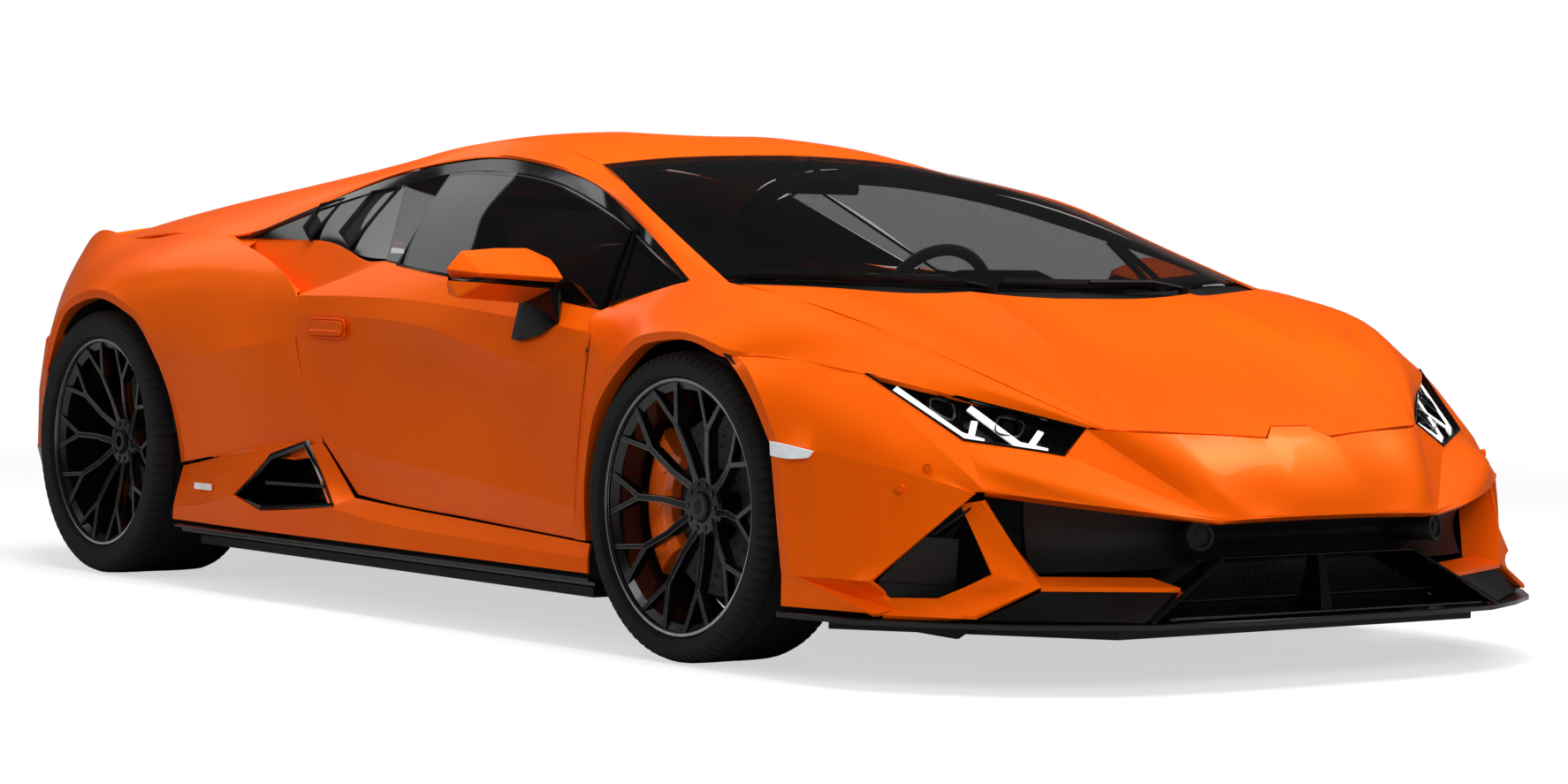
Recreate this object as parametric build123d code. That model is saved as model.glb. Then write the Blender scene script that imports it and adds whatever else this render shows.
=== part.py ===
"""A mid-engined two-seat supercar, built as separate panels, glass, wheels and running gear.

Units are millimetres. +X points forward, +Y to the car's left, +Z up. The origin is on the ground,
midway between nose and tail, on the centre plane.
"""

from math import cos, pi, sin
import os

from build123d import *

# ---------------------------------------------------------------- driving dimensions
overall_length = 4520.0
body_width = 1933.0
overall_height = 1165.0
wheelbase = 2620.0
rear_overhang = 900.0

front_tyre_diameter = 655.0
front_tyre_width = 245.0
front_tyre_tuck = 10.0
rear_tyre_diameter = 691.0
rear_tyre_width = 305.0
rear_tyre_tuck = 4.0
rim_diameter = 543.0
rim_wall = 9.0
tyre_seat_gap = 0.3
tyre_shoulder = 26.0

hub_bore_radius = 30.0
spindle_clearance = 0.05
disc_diameter = 380.0
disc_thickness = 34.0
disc_offset = -20.0
hub_radius = 78.0
arm_pairs = 10
fork_radius = 165.0
fork_angle = 0.2
kingpin_inset = 95.0
post_radius = 22.0
steering_angle = 30.0
tyre_clearance = 8.0

panel_gap = 6.0
skin_thickness = 28.0
glass_thickness = 6.0
door_thickness = 95.0
lid_thickness = 30.0
seat_gap = 0.3

front_axle_x = -overall_length / 2 + rear_overhang + wheelbase
rear_axle_x = -overall_length / 2 + rear_overhang
front_track = body_width - front_tyre_width - 2 * front_tyre_tuck
rear_track = body_width - rear_tyre_width - 2 * rear_tyre_tuck

# The body is drawn in these ranges: tail, rear axle, front axle and nose, then both sides, ground and roof.
# place() stretches what is drawn in them to the sizes above.
DRAWN_X = (-2260.0, -1360.0, 1260.0, 2260.0)
DRAWN_Y = (-966.5, 966.5)
DRAWN_Z = (0.0, 1165.0)


# ---------------------------------------------------------------- helpers
def along(x):
    """A drawn x, stretched between the real tail, axles and nose."""
    real = (-overall_length / 2, rear_axle_x, front_axle_x, overall_length / 2)
    i = 0 if x < DRAWN_X[1] else 1 if x < DRAWN_X[2] else 2
    share = (x - DRAWN_X[i]) / (DRAWN_X[i + 1] - DRAWN_X[i])
    return real[i] + share * (real[i + 1] - real[i])


def across(y):
    """A drawn y, stretched to the real width."""
    return y * body_width / (DRAWN_Y[1] - DRAWN_Y[0])


def up(z):
    """A drawn z, stretched to the real height."""
    return z * overall_height / (DRAWN_Z[1] - DRAWN_Z[0])


def place(x, y, z):
    """A drawn body point, stretched to the driving dimensions."""
    return Vector(along(x), across(y), up(z))


def placed(rows):
    """Every point of a table of rows, stretched with place()."""
    return [[place(*p) for p in row] for row in rows]


def mirrored(net):
    """The net reflected in the centre plane."""
    return [[Vector(p.X, -p.Y, p.Z) for p in row] for row in net]


def full_width(half_rows):
    """Rows drawn from the centre plane out, completed with their mirror images."""
    net = placed(half_rows)
    return mirrored(net[:0:-1]) + net


def inset(net, edges, gap=panel_gap / 2):
    """Draws the named edges of a net (first/last row, first/last column) in by gap along the skin."""
    net = [list(row) for row in net]
    rows, columns = len(net), len(net[0])

    def pull(p, towards):
        step = towards - p
        return p + step * (gap / step.length)

    if "first_row" in edges:
        net[0] = [pull(net[0][j], net[1][j]) for j in range(columns)]
    if "last_row" in edges:
        net[-1] = [pull(net[-1][j], net[-2][j]) for j in range(columns)]
    for i in range(rows):
        if "first_column" in edges:
            net[i][0] = pull(net[i][0], net[i][1])
        if "last_column" in edges:
            net[i][-1] = pull(net[i][-1], net[i][-2])
    return net


def normals(net):
    """A unit normal at each point of a net, from the directions along its rows and columns."""
    rows, columns = len(net), len(net[0])
    result = []
    for i in range(rows):
        line = []
        for j in range(columns):
            down = net[min(i + 1, rows - 1)][j] - net[max(i - 1, 0)][j]
            along = net[i][min(j + 1, columns - 1)] - net[i][max(j - 1, 0)]
            line.append(down.cross(along).normalized())
        result.append(line)
    return result


def shell_solid(outer, inner):
    """A closed solid between two nets of the same shape, faced with flat triangles."""
    rows, columns = len(outer), len(outer[0])
    triangles = []

    def quad(a, b, c, d):
        triangles.append((a, b, c))
        triangles.append((a, c, d))

    for i in range(rows - 1):
        for j in range(columns - 1):
            quad(outer[i][j], outer[i + 1][j], outer[i + 1][j + 1], outer[i][j + 1])
            quad(inner[i][j], inner[i][j + 1], inner[i + 1][j + 1], inner[i + 1][j])
    for j in range(columns - 1):
        quad(outer[0][j], outer[0][j + 1], inner[0][j + 1], inner[0][j])
        quad(outer[-1][j + 1], outer[-1][j], inner[-1][j], inner[-1][j + 1])
    for i in range(rows - 1):
        quad(outer[i + 1][0], outer[i][0], inner[i][0], inner[i + 1][0])
        quad(outer[i][-1], outer[i + 1][-1], inner[i + 1][-1], inner[i][-1])
    faces = []
    for a, b, c in triangles:
        if (b - a).cross(c - a).length > 1e-3:
            faces.append(Face(Wire.make_polygon([a, b, c])))
    solid = Solid(Shell(faces))
    if solid.volume < 0:
        solid = Solid(solid.wrapped.Reversed())
    return solid


def plate(net, thickness, inward=None, pivot=Vector(0, 0, 400)):
    """A panel: the outer skin net and the same skin moved in by thickness, along inward or its normals."""
    if inward is not None:
        step = Vector(*inward).normalized() * thickness
        return shell_solid(net, [[p + step for p in row] for row in net])
    ns = normals(net)
    middle = net[len(net) // 2][len(net[0]) // 2]
    outward = middle - pivot
    sign = 1 if ns[len(net) // 2][len(net[0]) // 2].dot(outward) < 0 else -1
    inner = [[p + n * (sign * thickness) for p, n in zip(row, line)] for row, line in zip(net, ns)]
    return shell_solid(net, inner)


def both_sides(solid):
    """The solid and its mirror image, as one part with two bodies."""
    return Compound(children=[solid, solid.mirror(Plane.XZ)])


def box(x, y, z):
    """A box from its (low, high) pairs."""
    size = [hi - lo for lo, hi in (x, y, z)]
    return Pos(*[(lo + hi) / 2 for lo, hi in (x, y, z)]) * Box(*size)


def block(x, y, z):
    """A box from its drawn (low, high) pairs, stretched like the body."""
    return box([along(v) for v in x], [across(v) for v in y], [up(v) for v in z])


def prism(points, low, high, plane="xy"):
    """A prism on a closed outline, in plan ("xy") between two heights or in side view ("xz") between two y."""
    if plane == "xy":
        face = Face(Wire.make_polygon([Vector(a, b, low) for a, b in points]))
        return Solid.extrude(face, Vector(0, 0, high - low))
    face = Face(Wire.make_polygon([Vector(a, low, b) for a, b in points]))
    return Solid.extrude(face, Vector(0, high - low, 0))


def slab(points, low, high):
    """A prism on a drawn plan outline between two drawn heights, stretched like the body."""
    return prism([(along(x), across(y)) for x, y in points], up(low), up(high))


def profile(points, low, high):
    """A prism on a drawn side outline between two drawn y, stretched like the body."""
    return prism([(along(x), up(z)) for x, z in points], across(low), across(high), "xz")


def bar(start, end, width, height):
    """A straight rectangular bar between two points."""
    start, end = Vector(*start), Vector(*end)
    plane = Plane(origin=start, z_dir=end - start)
    return Solid(extrude(plane * Rectangle(width, height), (end - start).length).wrapped)


def rod(start, end, radius):
    """A round rod between two points."""
    start, end = Vector(*start), Vector(*end)
    plane = Plane(origin=start, z_dir=end - start)
    return Solid.make_cylinder(radius, (end - start).length, plane)


parts = {}


def keep(name, *shapes):
    """Files the shapes under a node's name."""
    parts[name] = Compound(children=[s for shape in shapes for s in shape.solids()])


# ---------------------------------------------------------------- body tables, one side, y outwards
# Hood: columns run from the windscreen forward. Rows run from the centre plane out.
hood_rows = [
    [(1490, 0, 772), (1650, 0, 712), (1810, 0, 648), (1975, 0, 578), (2130, 0, 508)],
    [(1452, 317, 776), (1600, 335, 724), (1760, 355, 655), (1910, 375, 581), (2068, 395, 513)],
    [(1335, 570, 790), (1500, 550, 752), (1680, 515, 690), (1860, 478, 606), (2050, 420, 514)],
    [(1222, 758, 794), (1400, 742, 766), (1600, 672, 706), (1810, 590, 626), (2035, 440, 514)],
]
# Windscreen: columns run from its foot up to the roof. Rows run from the centre plane out.
screen_rows = [
    [(1425, 0, 799), (1090, 0, 923), (750, 0, 1023), (420, 0, 1097)],
    [(1388, 312, 802), (1065, 286, 919), (735, 252, 1017), (405, 210, 1092)],
    [(1275, 558, 813), (980, 506, 922), (685, 452, 1018), (375, 385, 1081)],
    [(1140, 750, 812), (880, 694, 908), (610, 628, 1004), (340, 520, 1064)],
]
# Roof: columns run back from the windscreen's head. Rows run from the centre plane out.
roof_rows = [
    [(420, 0, 1097), (190, 0, 1140), (-50, 0, 1165), (-300, 0, 1158), (-560, 0, 1124)],
    [(405, 210, 1092), (180, 205, 1136), (-50, 200, 1158), (-300, 195, 1152), (-560, 192, 1118)],
    [(375, 385, 1081), (170, 375, 1122), (-50, 368, 1143), (-300, 362, 1137), (-560, 358, 1104)],
    [(340, 520, 1064), (150, 503, 1104), (-50, 492, 1124), (-300, 484, 1118), (-560, 480, 1086)],
]
# Side rail: upper edge beside the screen, roof and engine cover, lower edge over the side windows.
rail_rows = [
    [(1190, 764, 797), (905, 700, 899), (620, 632, 1003), (340, 520, 1064), (150, 503, 1104),
     (-50, 492, 1124), (-300, 484, 1118), (-560, 480, 1086), (-950, 492, 1036), (-1154, 505, 1010),
     (-1650, 550, 938), (-2060, 590, 868)],
    [(1140, 784, 800), (905, 733, 886), (660, 676, 968), (400, 598, 1028), (170, 555, 1064),
     (-50, 540, 1086), (-300, 535, 1082), (-560, 580, 1040), (-900, 665, 968), (-1154, 660, 955),
     (-1650, 645, 910), (-2060, 618, 858)],
    [(1094, 800, 800), (900, 752, 862), (700, 690, 922), (430, 628, 991), (190, 580, 1032),
     (-50, 560, 1052), (-290, 555, 1046), (-560, 632, 996), (-930, 755, 890), (-1154, 765, 897),
     (-1650, 712, 883), (-2080, 635, 853)],
]
# Engine cover: columns run back from the roof. Rows run from the centre plane out.
engine_cover_rows = [
    [(-566, 0, 1092), (-900, 0, 1042), (-1300, 0, 980), (-1700, 0, 922), (-1980, 0, 892)],
    [(-566, 240, 1085), (-900, 240, 1036), (-1300, 250, 976), (-1700, 265, 920), (-1980, 280, 889)],
    [(-566, 474, 1060), (-950, 486, 1018), (-1300, 512, 970), (-1700, 550, 924), (-1980, 578, 880)],
]
# Front fender: columns run round the wheel arch from the sill forward. Rows run from the arch lip out.
front_fender_rows = [
    [(914, 938, 235), (908, 940, 330), (930, 945, 450), (996, 950, 562), (1100, 953, 641),
     (1190, 955, 672), (1280, 955, 679), (1360, 948, 665), (1412, 932, 645)],
    [(892, 938, 235), (888, 938, 335), (900, 940, 475), (930, 930, 630), (1010, 905, 705),
     (1150, 880, 738), (1285, 862, 748), (1420, 840, 728), (1560, 838, 645)],
    [(868, 936, 235), (870, 936, 340), (872, 926, 500), (868, 900, 690), (848, 856, 733),
     (1094, 800, 800), (1190, 764, 797), (1400, 742, 766), (1600, 672, 706)],
]
fender_tongue_rows = [
    [(1412, 932, 645), (1560, 838, 645), (1600, 672, 706)],
    [(1560, 862, 632), (1640, 775, 640), (1700, 634, 668)],
    [(1700, 792, 618), (1750, 720, 615), (1810, 590, 626)],
    [(1860, 620, 566), (1880, 600, 571), (1930, 512, 568)],
    [(2006, 467, 520), (2012, 462, 521), (2033, 443, 515)],
]
# Door: columns run from the front shut line back. Rows run from the window down.
door_rows = [
    [(848, 856, 733), (400, 855, 782), (120, 842, 808), (-140, 817, 832)],
    [(866, 900, 690), (400, 893, 715), (0, 893, 738), (-425, 900, 742)],
    [(872, 926, 510), (400, 912, 600), (0, 908, 660), (-385, 915, 640)],
    [(870, 936, 330), (400, 930, 348), (20, 925, 378), (-240, 923, 400)],
    [(868, 936, 238), (400, 928, 256), (130, 926, 266), (-85, 926, 280)],
]
door_glass_rows = [
    [(740, 707, 907), (400, 618, 996), (50, 567, 1047), (-270, 556, 1046)],
    [(790, 785, 825), (400, 745, 893), (75, 712, 930), (-165, 695, 942)],
    [(832, 850, 726), (400, 850, 774), (120, 838, 800), (-60, 822, 817)],
]
front_quarter_glass = [[(760, 713, 898), (1086, 799, 802)], [(866, 845, 748), (1060, 808, 795)]]
rear_quarter_glass = [
    [(-280, 556, 1046), (-420, 592, 1024)],
    [(-75, 821, 829), (-145, 812, 833)],
]
# Shoulder scoop between door, haunch and side vent; columns run back.
scoop_rows = [
    [(-150, 812, 832), (-380, 752, 868), (-620, 705, 905), (-925, 752, 889)],
    [(-425, 898, 743), (-560, 862, 786), (-720, 828, 832), (-940, 778, 885)],
]
# Side vent behind the rear quarter window, set in under the rail; columns run back.
vent_rows = [
    [(-420, 592, 1020), (-600, 640, 985), (-760, 690, 945), (-915, 740, 895)],
    [(-165, 790, 838), (-380, 740, 868), (-610, 695, 900), (-900, 735, 886)],
]
# Rear fender: columns run round the wheel arch from the sill back. Rows run from the arch lip out.
quarter_rows = [
    [(-975, 915, 310), (-975, 930, 400), (-995, 940, 478), (-1035, 950, 556), (-1100, 957, 630),
     (-1200, 963, 690), (-1335, 966, 722), (-1480, 962, 703), (-1610, 950, 630), (-1700, 935, 520)],
    [(-800, 916, 335), (-640, 920, 395), (-690, 926, 480), (-760, 930, 590), (-820, 926, 700),
     (-1060, 908, 800), (-1325, 890, 822), (-1560, 864, 808), (-1880, 802, 735), (-1910, 838, 570)],
    [(-600, 922, 364), (-245, 922, 390), (-310, 916, 520), (-402, 910, 680), (-440, 898, 748),
     (-950, 776, 886), (-1300, 748, 897), (-1650, 714, 883), (-2085, 635, 853), (-2100, 727, 615)],
]
# Side skirt: columns run back. Rows run from the door down.
skirt_rows = [
    [(925, 935, 228), (400, 928, 247), (130, 926, 257), (-90, 926, 268), (-235, 922, 378),
     (-440, 924, 384), (-968, 912, 302)],
    [(935, 948, 198), (400, 945, 210), (130, 948, 218), (-90, 952, 226), (-235, 962, 268),
     (-440, 966, 280), (-968, 928, 240)],
    [(945, 955, 165), (400, 955, 165), (130, 955, 165), (-90, 955, 165), (-235, 955, 165),
     (-440, 955, 165), (-968, 944, 165)],
]
# Front bumper's nose between the hood and the grille. Rows run from the centre plane out.
nose_rows = [
    [(2138, 0, 503), (2200, 0, 425), (2250, 0, 346)],
    [(2090, 290, 509), (2170, 298, 425), (2238, 305, 343)],
    [(2028, 490, 500), (2085, 540, 435), (2128, 545, 372)],
    [(1915, 705, 493), (1968, 716, 448), (2006, 725, 400)],
]
# Front bumper's cheek between the lamp and the wheel arch; columns run back.
cheek_rows = [
    [(1915, 705, 493), (1700, 792, 615), (1540, 882, 628), (1415, 932, 642)],
    [(1968, 716, 448), (1790, 830, 530), (1640, 915, 550), (1540, 940, 545)],
    [(2006, 725, 400), (1850, 850, 437), (1720, 925, 467), (1592, 945, 455)],
    [(1920, 800, 310), (1815, 885, 330), (1715, 932, 335), (1612, 946, 340)],
    [(1835, 875, 225), (1780, 905, 215), (1700, 930, 205), (1640, 950, 200)],
]
# Front bumper's lower rail under the intakes; columns run from the arch round to the grille.
lower_rail_rows = [
    [(1642, 950, 198), (1835, 880, 214), (2010, 790, 208), (2090, 690, 214), (2160, 520, 232)],
    [(1642, 958, 150), (1835, 905, 150), (2040, 800, 150), (2140, 690, 150), (2200, 520, 170)],
]
headlamp_rows = [
    [(1700, 792, 618), (1860, 620, 566), (2006, 467, 520)],
    [(1915, 705, 493), (1975, 630, 482), (2026, 540, 470)],
]
# Rear bumper; columns run from the arch round to the centre plane's outlet.
rear_bumper_rows = [
    [(-1705, 934, 515), (-1905, 838, 565), (-2105, 727, 610), (-2200, 560, 610)],
    [(-1740, 928, 420), (-1915, 848, 440), (-2110, 744, 470), (-2215, 560, 470)],
    [(-1745, 918, 300), (-1920, 842, 300), (-2120, 746, 300), (-2225, 560, 300)],
]
# Rear grille: columns run down. Rows run from the centre plane out.
rear_mesh_rows = [
    [(-2150, 0, 850), (-2190, 0, 740), (-2205, 0, 615)],
    [(-2140, 350, 848), (-2180, 350, 740), (-2195, 350, 615)],
    [(-2092, 620, 835), (-2120, 690, 720), (-2125, 700, 618)],
]
spoiler_rows = [
    [(-1985, 0, 890), (-2080, 0, 900), (-2195, 0, 922)],
    [(-1985, 280, 886), (-2080, 290, 896), (-2185, 300, 917)],
    [(-1990, 600, 872), (-2060, 598, 864), (-2122, 565, 857)],
]


hood_hinge = place(1150, 0, 786)
cover_hinge = place(-560, 0, 1086)
door_hinge = place(868, 937, 300)
hinge_pin_radius = 4.0
cover_pin_radius = 6.0
door_pin_radius = 3.4
exhaust_start, exhaust_end = place(-2100, 250, 520), place(-2250, 250, 520)
exhaust_radius = 55.0
exhaust_wall = 6.0
plate_hole_radius, plate_hole_spacing = 3.0, 180.0
tow_eye_radius = 8.0
column_head = place(470, 370, 715)
column_foot = place(690, 370, 635)
column_radius = 24.0
pan_bottom, pan_top, floor_top = up(105), up(127), up(145)
jack_pad_radius = 40.0
rail_side = across(500)
rear_rail_side = across(470)


def turned(shape, side):
    """The left-hand shape as drawn (side 1), or its mirror image for the right-hand side (side -1)."""
    return shape if side == 1 else shape.mirror(Plane.XZ)


def both_nodes(stem, shapes):
    """Files the shapes as a left-hand node and, mirrored, as a right-hand node."""
    keep(f"{stem}_left", *shapes)
    keep(f"{stem}_right", *[turned(shape, -1) for shape in shapes])


# ---------------------------------------------------------------- bodywork
all_edges = {"first_row", "last_row", "first_column", "last_column"}
hood_space = plate(full_width(hood_rows), 90, inward=(0, 0, -1))
cover_space = plate(full_width(engine_cover_rows), 60, inward=(0, 0, -1))
door_space = plate(placed(door_rows), door_thickness + 20, inward=(0, -1, 0))


def boxes_meet(first, second):
    """Whether the boxes round two shapes touch or overlap."""
    a, b = first.bounding_box(), second.bounding_box()
    return all(lo <= hi for lo, hi in zip([*a.min, *b.min], [*b.max, *a.max]))


def trim(name, *cutters):
    """Cuts other pieces, or the space a lid or door needs, out of a node already filed."""
    kept = []
    for solid in parts[name].solids():
        near = [c for cutter in cutters for c in cutter.solids() if boxes_meet(solid, c)]
        kept += [s for s in (solid.cut(*near).solids() if near else [solid]) if s.volume > 3000]
    parts[name] = Compound(children=kept)


def build_lids():
    hood = plate(inset(full_width(hood_rows), all_edges, panel_gap), lid_thickness)
    reach = hinge_pin_radius + seat_gap
    lug = box((hood_hinge.X + reach, along(1265)), (across(715), across(740)),
              (hood_hinge.Z - 12, hood_hinge.Z - 2))
    keep("front_lid", hood.fuse(lug, turned(lug, -1)))
    cover = plate(inset(full_width(engine_cover_rows), all_edges, panel_gap), lid_thickness)
    end = cover_hinge.X - cover_pin_radius - seat_gap
    lug = box((end - 60, end), (across(70), across(170)), (cover_hinge.Z - 15, cover_hinge.Z - 1))
    keep("engine_cover", cover.fuse(lug, turned(lug, -1)))


def build_cowl():
    """The black panel between hood and windscreen, with the hood's hinge pins at its ends."""
    foot = [[row[0] for row in hood_rows], [row[0] for row in screen_rows]]
    half = [[place(x - 6, y * 0.93, z - 14) for x, y, z in foot[0]],
            [place(x - 4, y * 0.93, z - 12) for x, y, z in foot[1]]]
    net = [list(pair) for pair in zip(*half)]
    cowl = plate(mirrored(net[:0:-1]) + net, 12)
    pin = rod((hood_hinge.X, across(690), hood_hinge.Z), (hood_hinge.X, across(742), hood_hinge.Z),
              hinge_pin_radius)
    keep("cowl_panel", cowl.fuse(pin, turned(pin, -1)))


def build_roof():
    roof = plate(inset(full_width(roof_rows), {"last_column"}), skin_thickness)
    x, z = cover_hinge.X, cover_hinge.Z
    ends = (across(60), across(180))
    pin = rod((x, ends[0], z), (x, ends[1], z), cover_pin_radius)
    pin = pin.fuse(box((x + 2, x + 25), ends, (z - 4, z + 20)))
    keep("roof", roof.fuse(pin, turned(pin, -1)))
    rail = plate(placed(rail_rows), skin_thickness, inward=(0, 0, -1))
    keep("roof_rails", both_sides(rail))


def build_glass():
    screen = inset(full_width(screen_rows), all_edges, seat_gap)
    keep("windscreen", plate(screen, glass_thickness))
    door_glass = inset(placed(door_glass_rows), {"first_column", "last_column"})
    door_glass = inset(door_glass, {"first_row"}, 20)
    both_nodes("door_window", [plate(door_glass, glass_thickness)])
    keep("fixed_windows",
         both_sides(plate(placed(front_quarter_glass), glass_thickness)),
         both_sides(plate(placed(rear_quarter_glass), glass_thickness)),
         block((-634, -628), (-339.7, 339.7), (740.3, 969.7)))


def build_sides():
    fender = plate(placed(front_fender_rows), skin_thickness)
    tongue = plate(placed(fender_tongue_rows), skin_thickness, inward=(0, 0, -1))
    keep("front_fenders", both_sides(fender.fuse(tongue)))
    outer = inset(placed(door_rows), all_edges, panel_gap)
    inner = [[p + Vector(0, -door_thickness, 0) for p in row] for row in outer]
    both_nodes("door", [shell_solid(outer, inset(inner, {"first_column", "last_column"}, 14))])
    quarter = plate(inset(placed(quarter_rows), {"last_column"}), skin_thickness)
    keep("rear_fenders", both_sides(quarter))
    keep("shoulder_scoops", both_sides(plate(placed(scoop_rows), skin_thickness, inward=(0, -1, 0))))
    keep("side_vents", both_sides(plate(placed(vent_rows), skin_thickness, inward=(0, -1, 0))))
    keep("side_skirts", both_sides(plate(placed(skirt_rows), skin_thickness, inward=(0, -1, 0))))
    blade = block((-965, 945), (890, 960), (127, 165))
    keep("skirt_blades", both_sides(blade))


def build_nose():
    cheek = plate(placed(cheek_rows), skin_thickness, pivot=Vector(1400, 0, 300))
    rail = plate(placed(lower_rail_rows), skin_thickness, inward=(-0.4, -0.9, 0))
    blade = bar(place(1975, 725, 385), place(2085, 668, 215), 46, 26)
    nose = plate(full_width(nose_rows), skin_thickness, inward=(-0.5, 0, -0.87))
    keep("front_bumper", nose.fuse(*[turned(s, side) for s in (cheek, rail, blade) for side in (1, -1)]))
    keep("headlamps", both_sides(plate(placed(headlamp_rows), 40, pivot=Vector(1400, 0, 300))))
    outline = [(1640, 968), (1850, 930), (2060, 800), (2165, 640), (2236, 477), (2260, 0)]
    outline += [(x, -y) for x, y in outline[-2::-1]]
    outline += [(1640, -560), (1640, 560)]
    keep("front_splitter", slab(outline, 127, 150))
    back = [(1880, 700), (2010, 520), (2060, 0), (2010, -520), (1880, -700)]
    back += [(x - 20, y) for x, y in back[::-1]]
    keep("front_grille", slab(back, 150, 420))


def build_tail():
    panel = block((-2225, -2197), (-560, 560), (425, 615))
    holes = [(side * exhaust_start.Y, exhaust_start.Z, exhaust_radius + seat_gap) for side in (1, -1)]
    holes += [(side * plate_hole_spacing / 2, up(455), plate_hole_radius) for side in (1, -1)]
    holes.append((across(-450), up(470), tow_eye_radius))
    for y, z, radius in holes:
        panel = panel.cut(rod((along(-2100), y, z), (along(-2300), y, z), radius))
    corner = plate(placed(rear_bumper_rows), skin_thickness, pivot=Vector(-1500, 0, 400))
    keep("rear_bumper", both_sides(corner), panel)
    keep("rear_grille", plate(full_width(rear_mesh_rows), skin_thickness, inward=(1, 0, 0)))
    keep("rear_spoiler", plate(full_width(spoiler_rows), 20, inward=(0, 0, -1)))
    keep("tail_lamps", both_sides(block((-2160, -2125), (400, 640), (760, 800))))
    tray = profile([(-1885.3, 105), (-2250, 290), (-2260, 420), (-2225, 420), (-2215, 310), (-1885.3, 145)],
                   -560, 560)
    fins = [profile([(-1960, 120), (-2235, 128), (-2235, 300), (-1960, 160)], y - 5, y + 5)
            for y in (-420, -210, 0, 210, 420)]
    keep("rear_diffuser", tray.fuse(*fins))
    tip = rod(exhaust_start, exhaust_end, exhaust_radius)
    back = Vector(exhaust_wall, 0, 0)
    bore = rod(exhaust_start - back, exhaust_end - back, exhaust_radius - exhaust_wall)
    keep("exhaust_tips", both_sides(tip.cut(bore)))


# ---------------------------------------------------------------- structure and cabin
def build_structure():
    half = [(2150, 0), (2150, 500), (1680, 860), (1680, 545), (860, 545), (860, 880), (-930, 880),
            (-930, 630), (-1720, 630), (-1885, 560), (-1885, 0)]
    outline = half + [(x, -y) for x, y in half[-2:0:-1]]
    pads = [Pos(along(x), across(y), pan_bottom - 5) * Cylinder(jack_pad_radius, 12)
            for x in (700, -560) for y in (-760, 760)]
    pan = prism([(along(x), across(y)) for x, y in outline], pan_bottom, pan_top)
    keep("floor_pan", pan.fuse(*pads))
    floor = prism([(along(x), across(y)) for x, y in (
        (-620, -800), (860, -800), (860, -530), (1095, -530), (1095, 530), (860, 530), (860, 800), (-620, 800),
    )], pan_top + seat_gap, floor_top)
    sill = block((-620, 850), (700, 800), (140, 350))
    front = block((1075, 1095), (-530, 530), (140, 640))
    rear = block((-640, -620), (-760, 760), (127.3, 720))
    hoop = block((-640, -620), (-430, 430), (715, 1000))
    window = block((-650, -610), (-340, 340), (740, 970))
    keep("cabin_tub", floor.fuse(sill, turned(sill, -1), front, rear, hoop).cut(window))
    trunk = block((1180, 1640), (-330, 330), (190, 600)).cut(block((1192, 1628), (-318, 318), (202, 601)))
    keep("front_trunk", trunk)
    rail = block((1095.3, 1850), (330, 500), (180, 470))
    beam = block((1660, 1850), (-500, 500), (180, 470))
    keep("front_structure", rail.fuse(turned(rail, -1), beam))
    rail = block((-1850, -640.3), (390, 470), (195, 330)).fuse(block((-1000, -900), (300.3, 400), (250, 310)))
    beam = block((-1850, -1780), (-470, 470), (195, 330))
    keep("rear_structure", rail.fuse(turned(rail, -1), beam))
    engine = block((-1250, -670), (-300, 300), (190, 760))
    keep("engine_block", engine.fuse(block((-1750, -1250), (-180, 180), (230, 520))))
    dashboard = profile([(1074.7, 560), (700, 560), (640, 640), (690, 760), (960, 795), (1074.7, 780)],
                        -690, 690)
    start = column_head + (column_foot - column_head).normalized() * (25 + seat_gap)
    keep("dashboard", dashboard.fuse(rod(start, column_foot, column_radius)))
    seat_side = [(180, 145.3), (160, 330), (-230, 290), (-490, 980), (-570, 980), (-440, 420), (-380, 145.3)]
    keep("seats", both_sides(profile(seat_side, 130, 610)))


def build_steering_wheel():
    """Rim, hub and spokes in one piece, its column's axis sloping down towards the dashboard."""
    plane = Plane(origin=column_head, z_dir=column_foot - column_head)
    rim = plane * Torus(172, 16)
    hub = plane * Cylinder(42, 50)
    spoke = plane * Box(26, 340, 16)
    keep("steering_wheel", rim.fuse(hub, spoke))


# ---------------------------------------------------------------- wheels and running gear
def ring(outline, y):
    """A solid of revolution about a wheel's axle: outline gives (radius, offset along the axle)."""
    face = Face(Wire.make_polygon([Vector(r, y + a, 0) for r, a in outline]))
    return Solid.revolve(face, 360, Axis((0, 0, 0), (0, 1, 0)))


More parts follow.
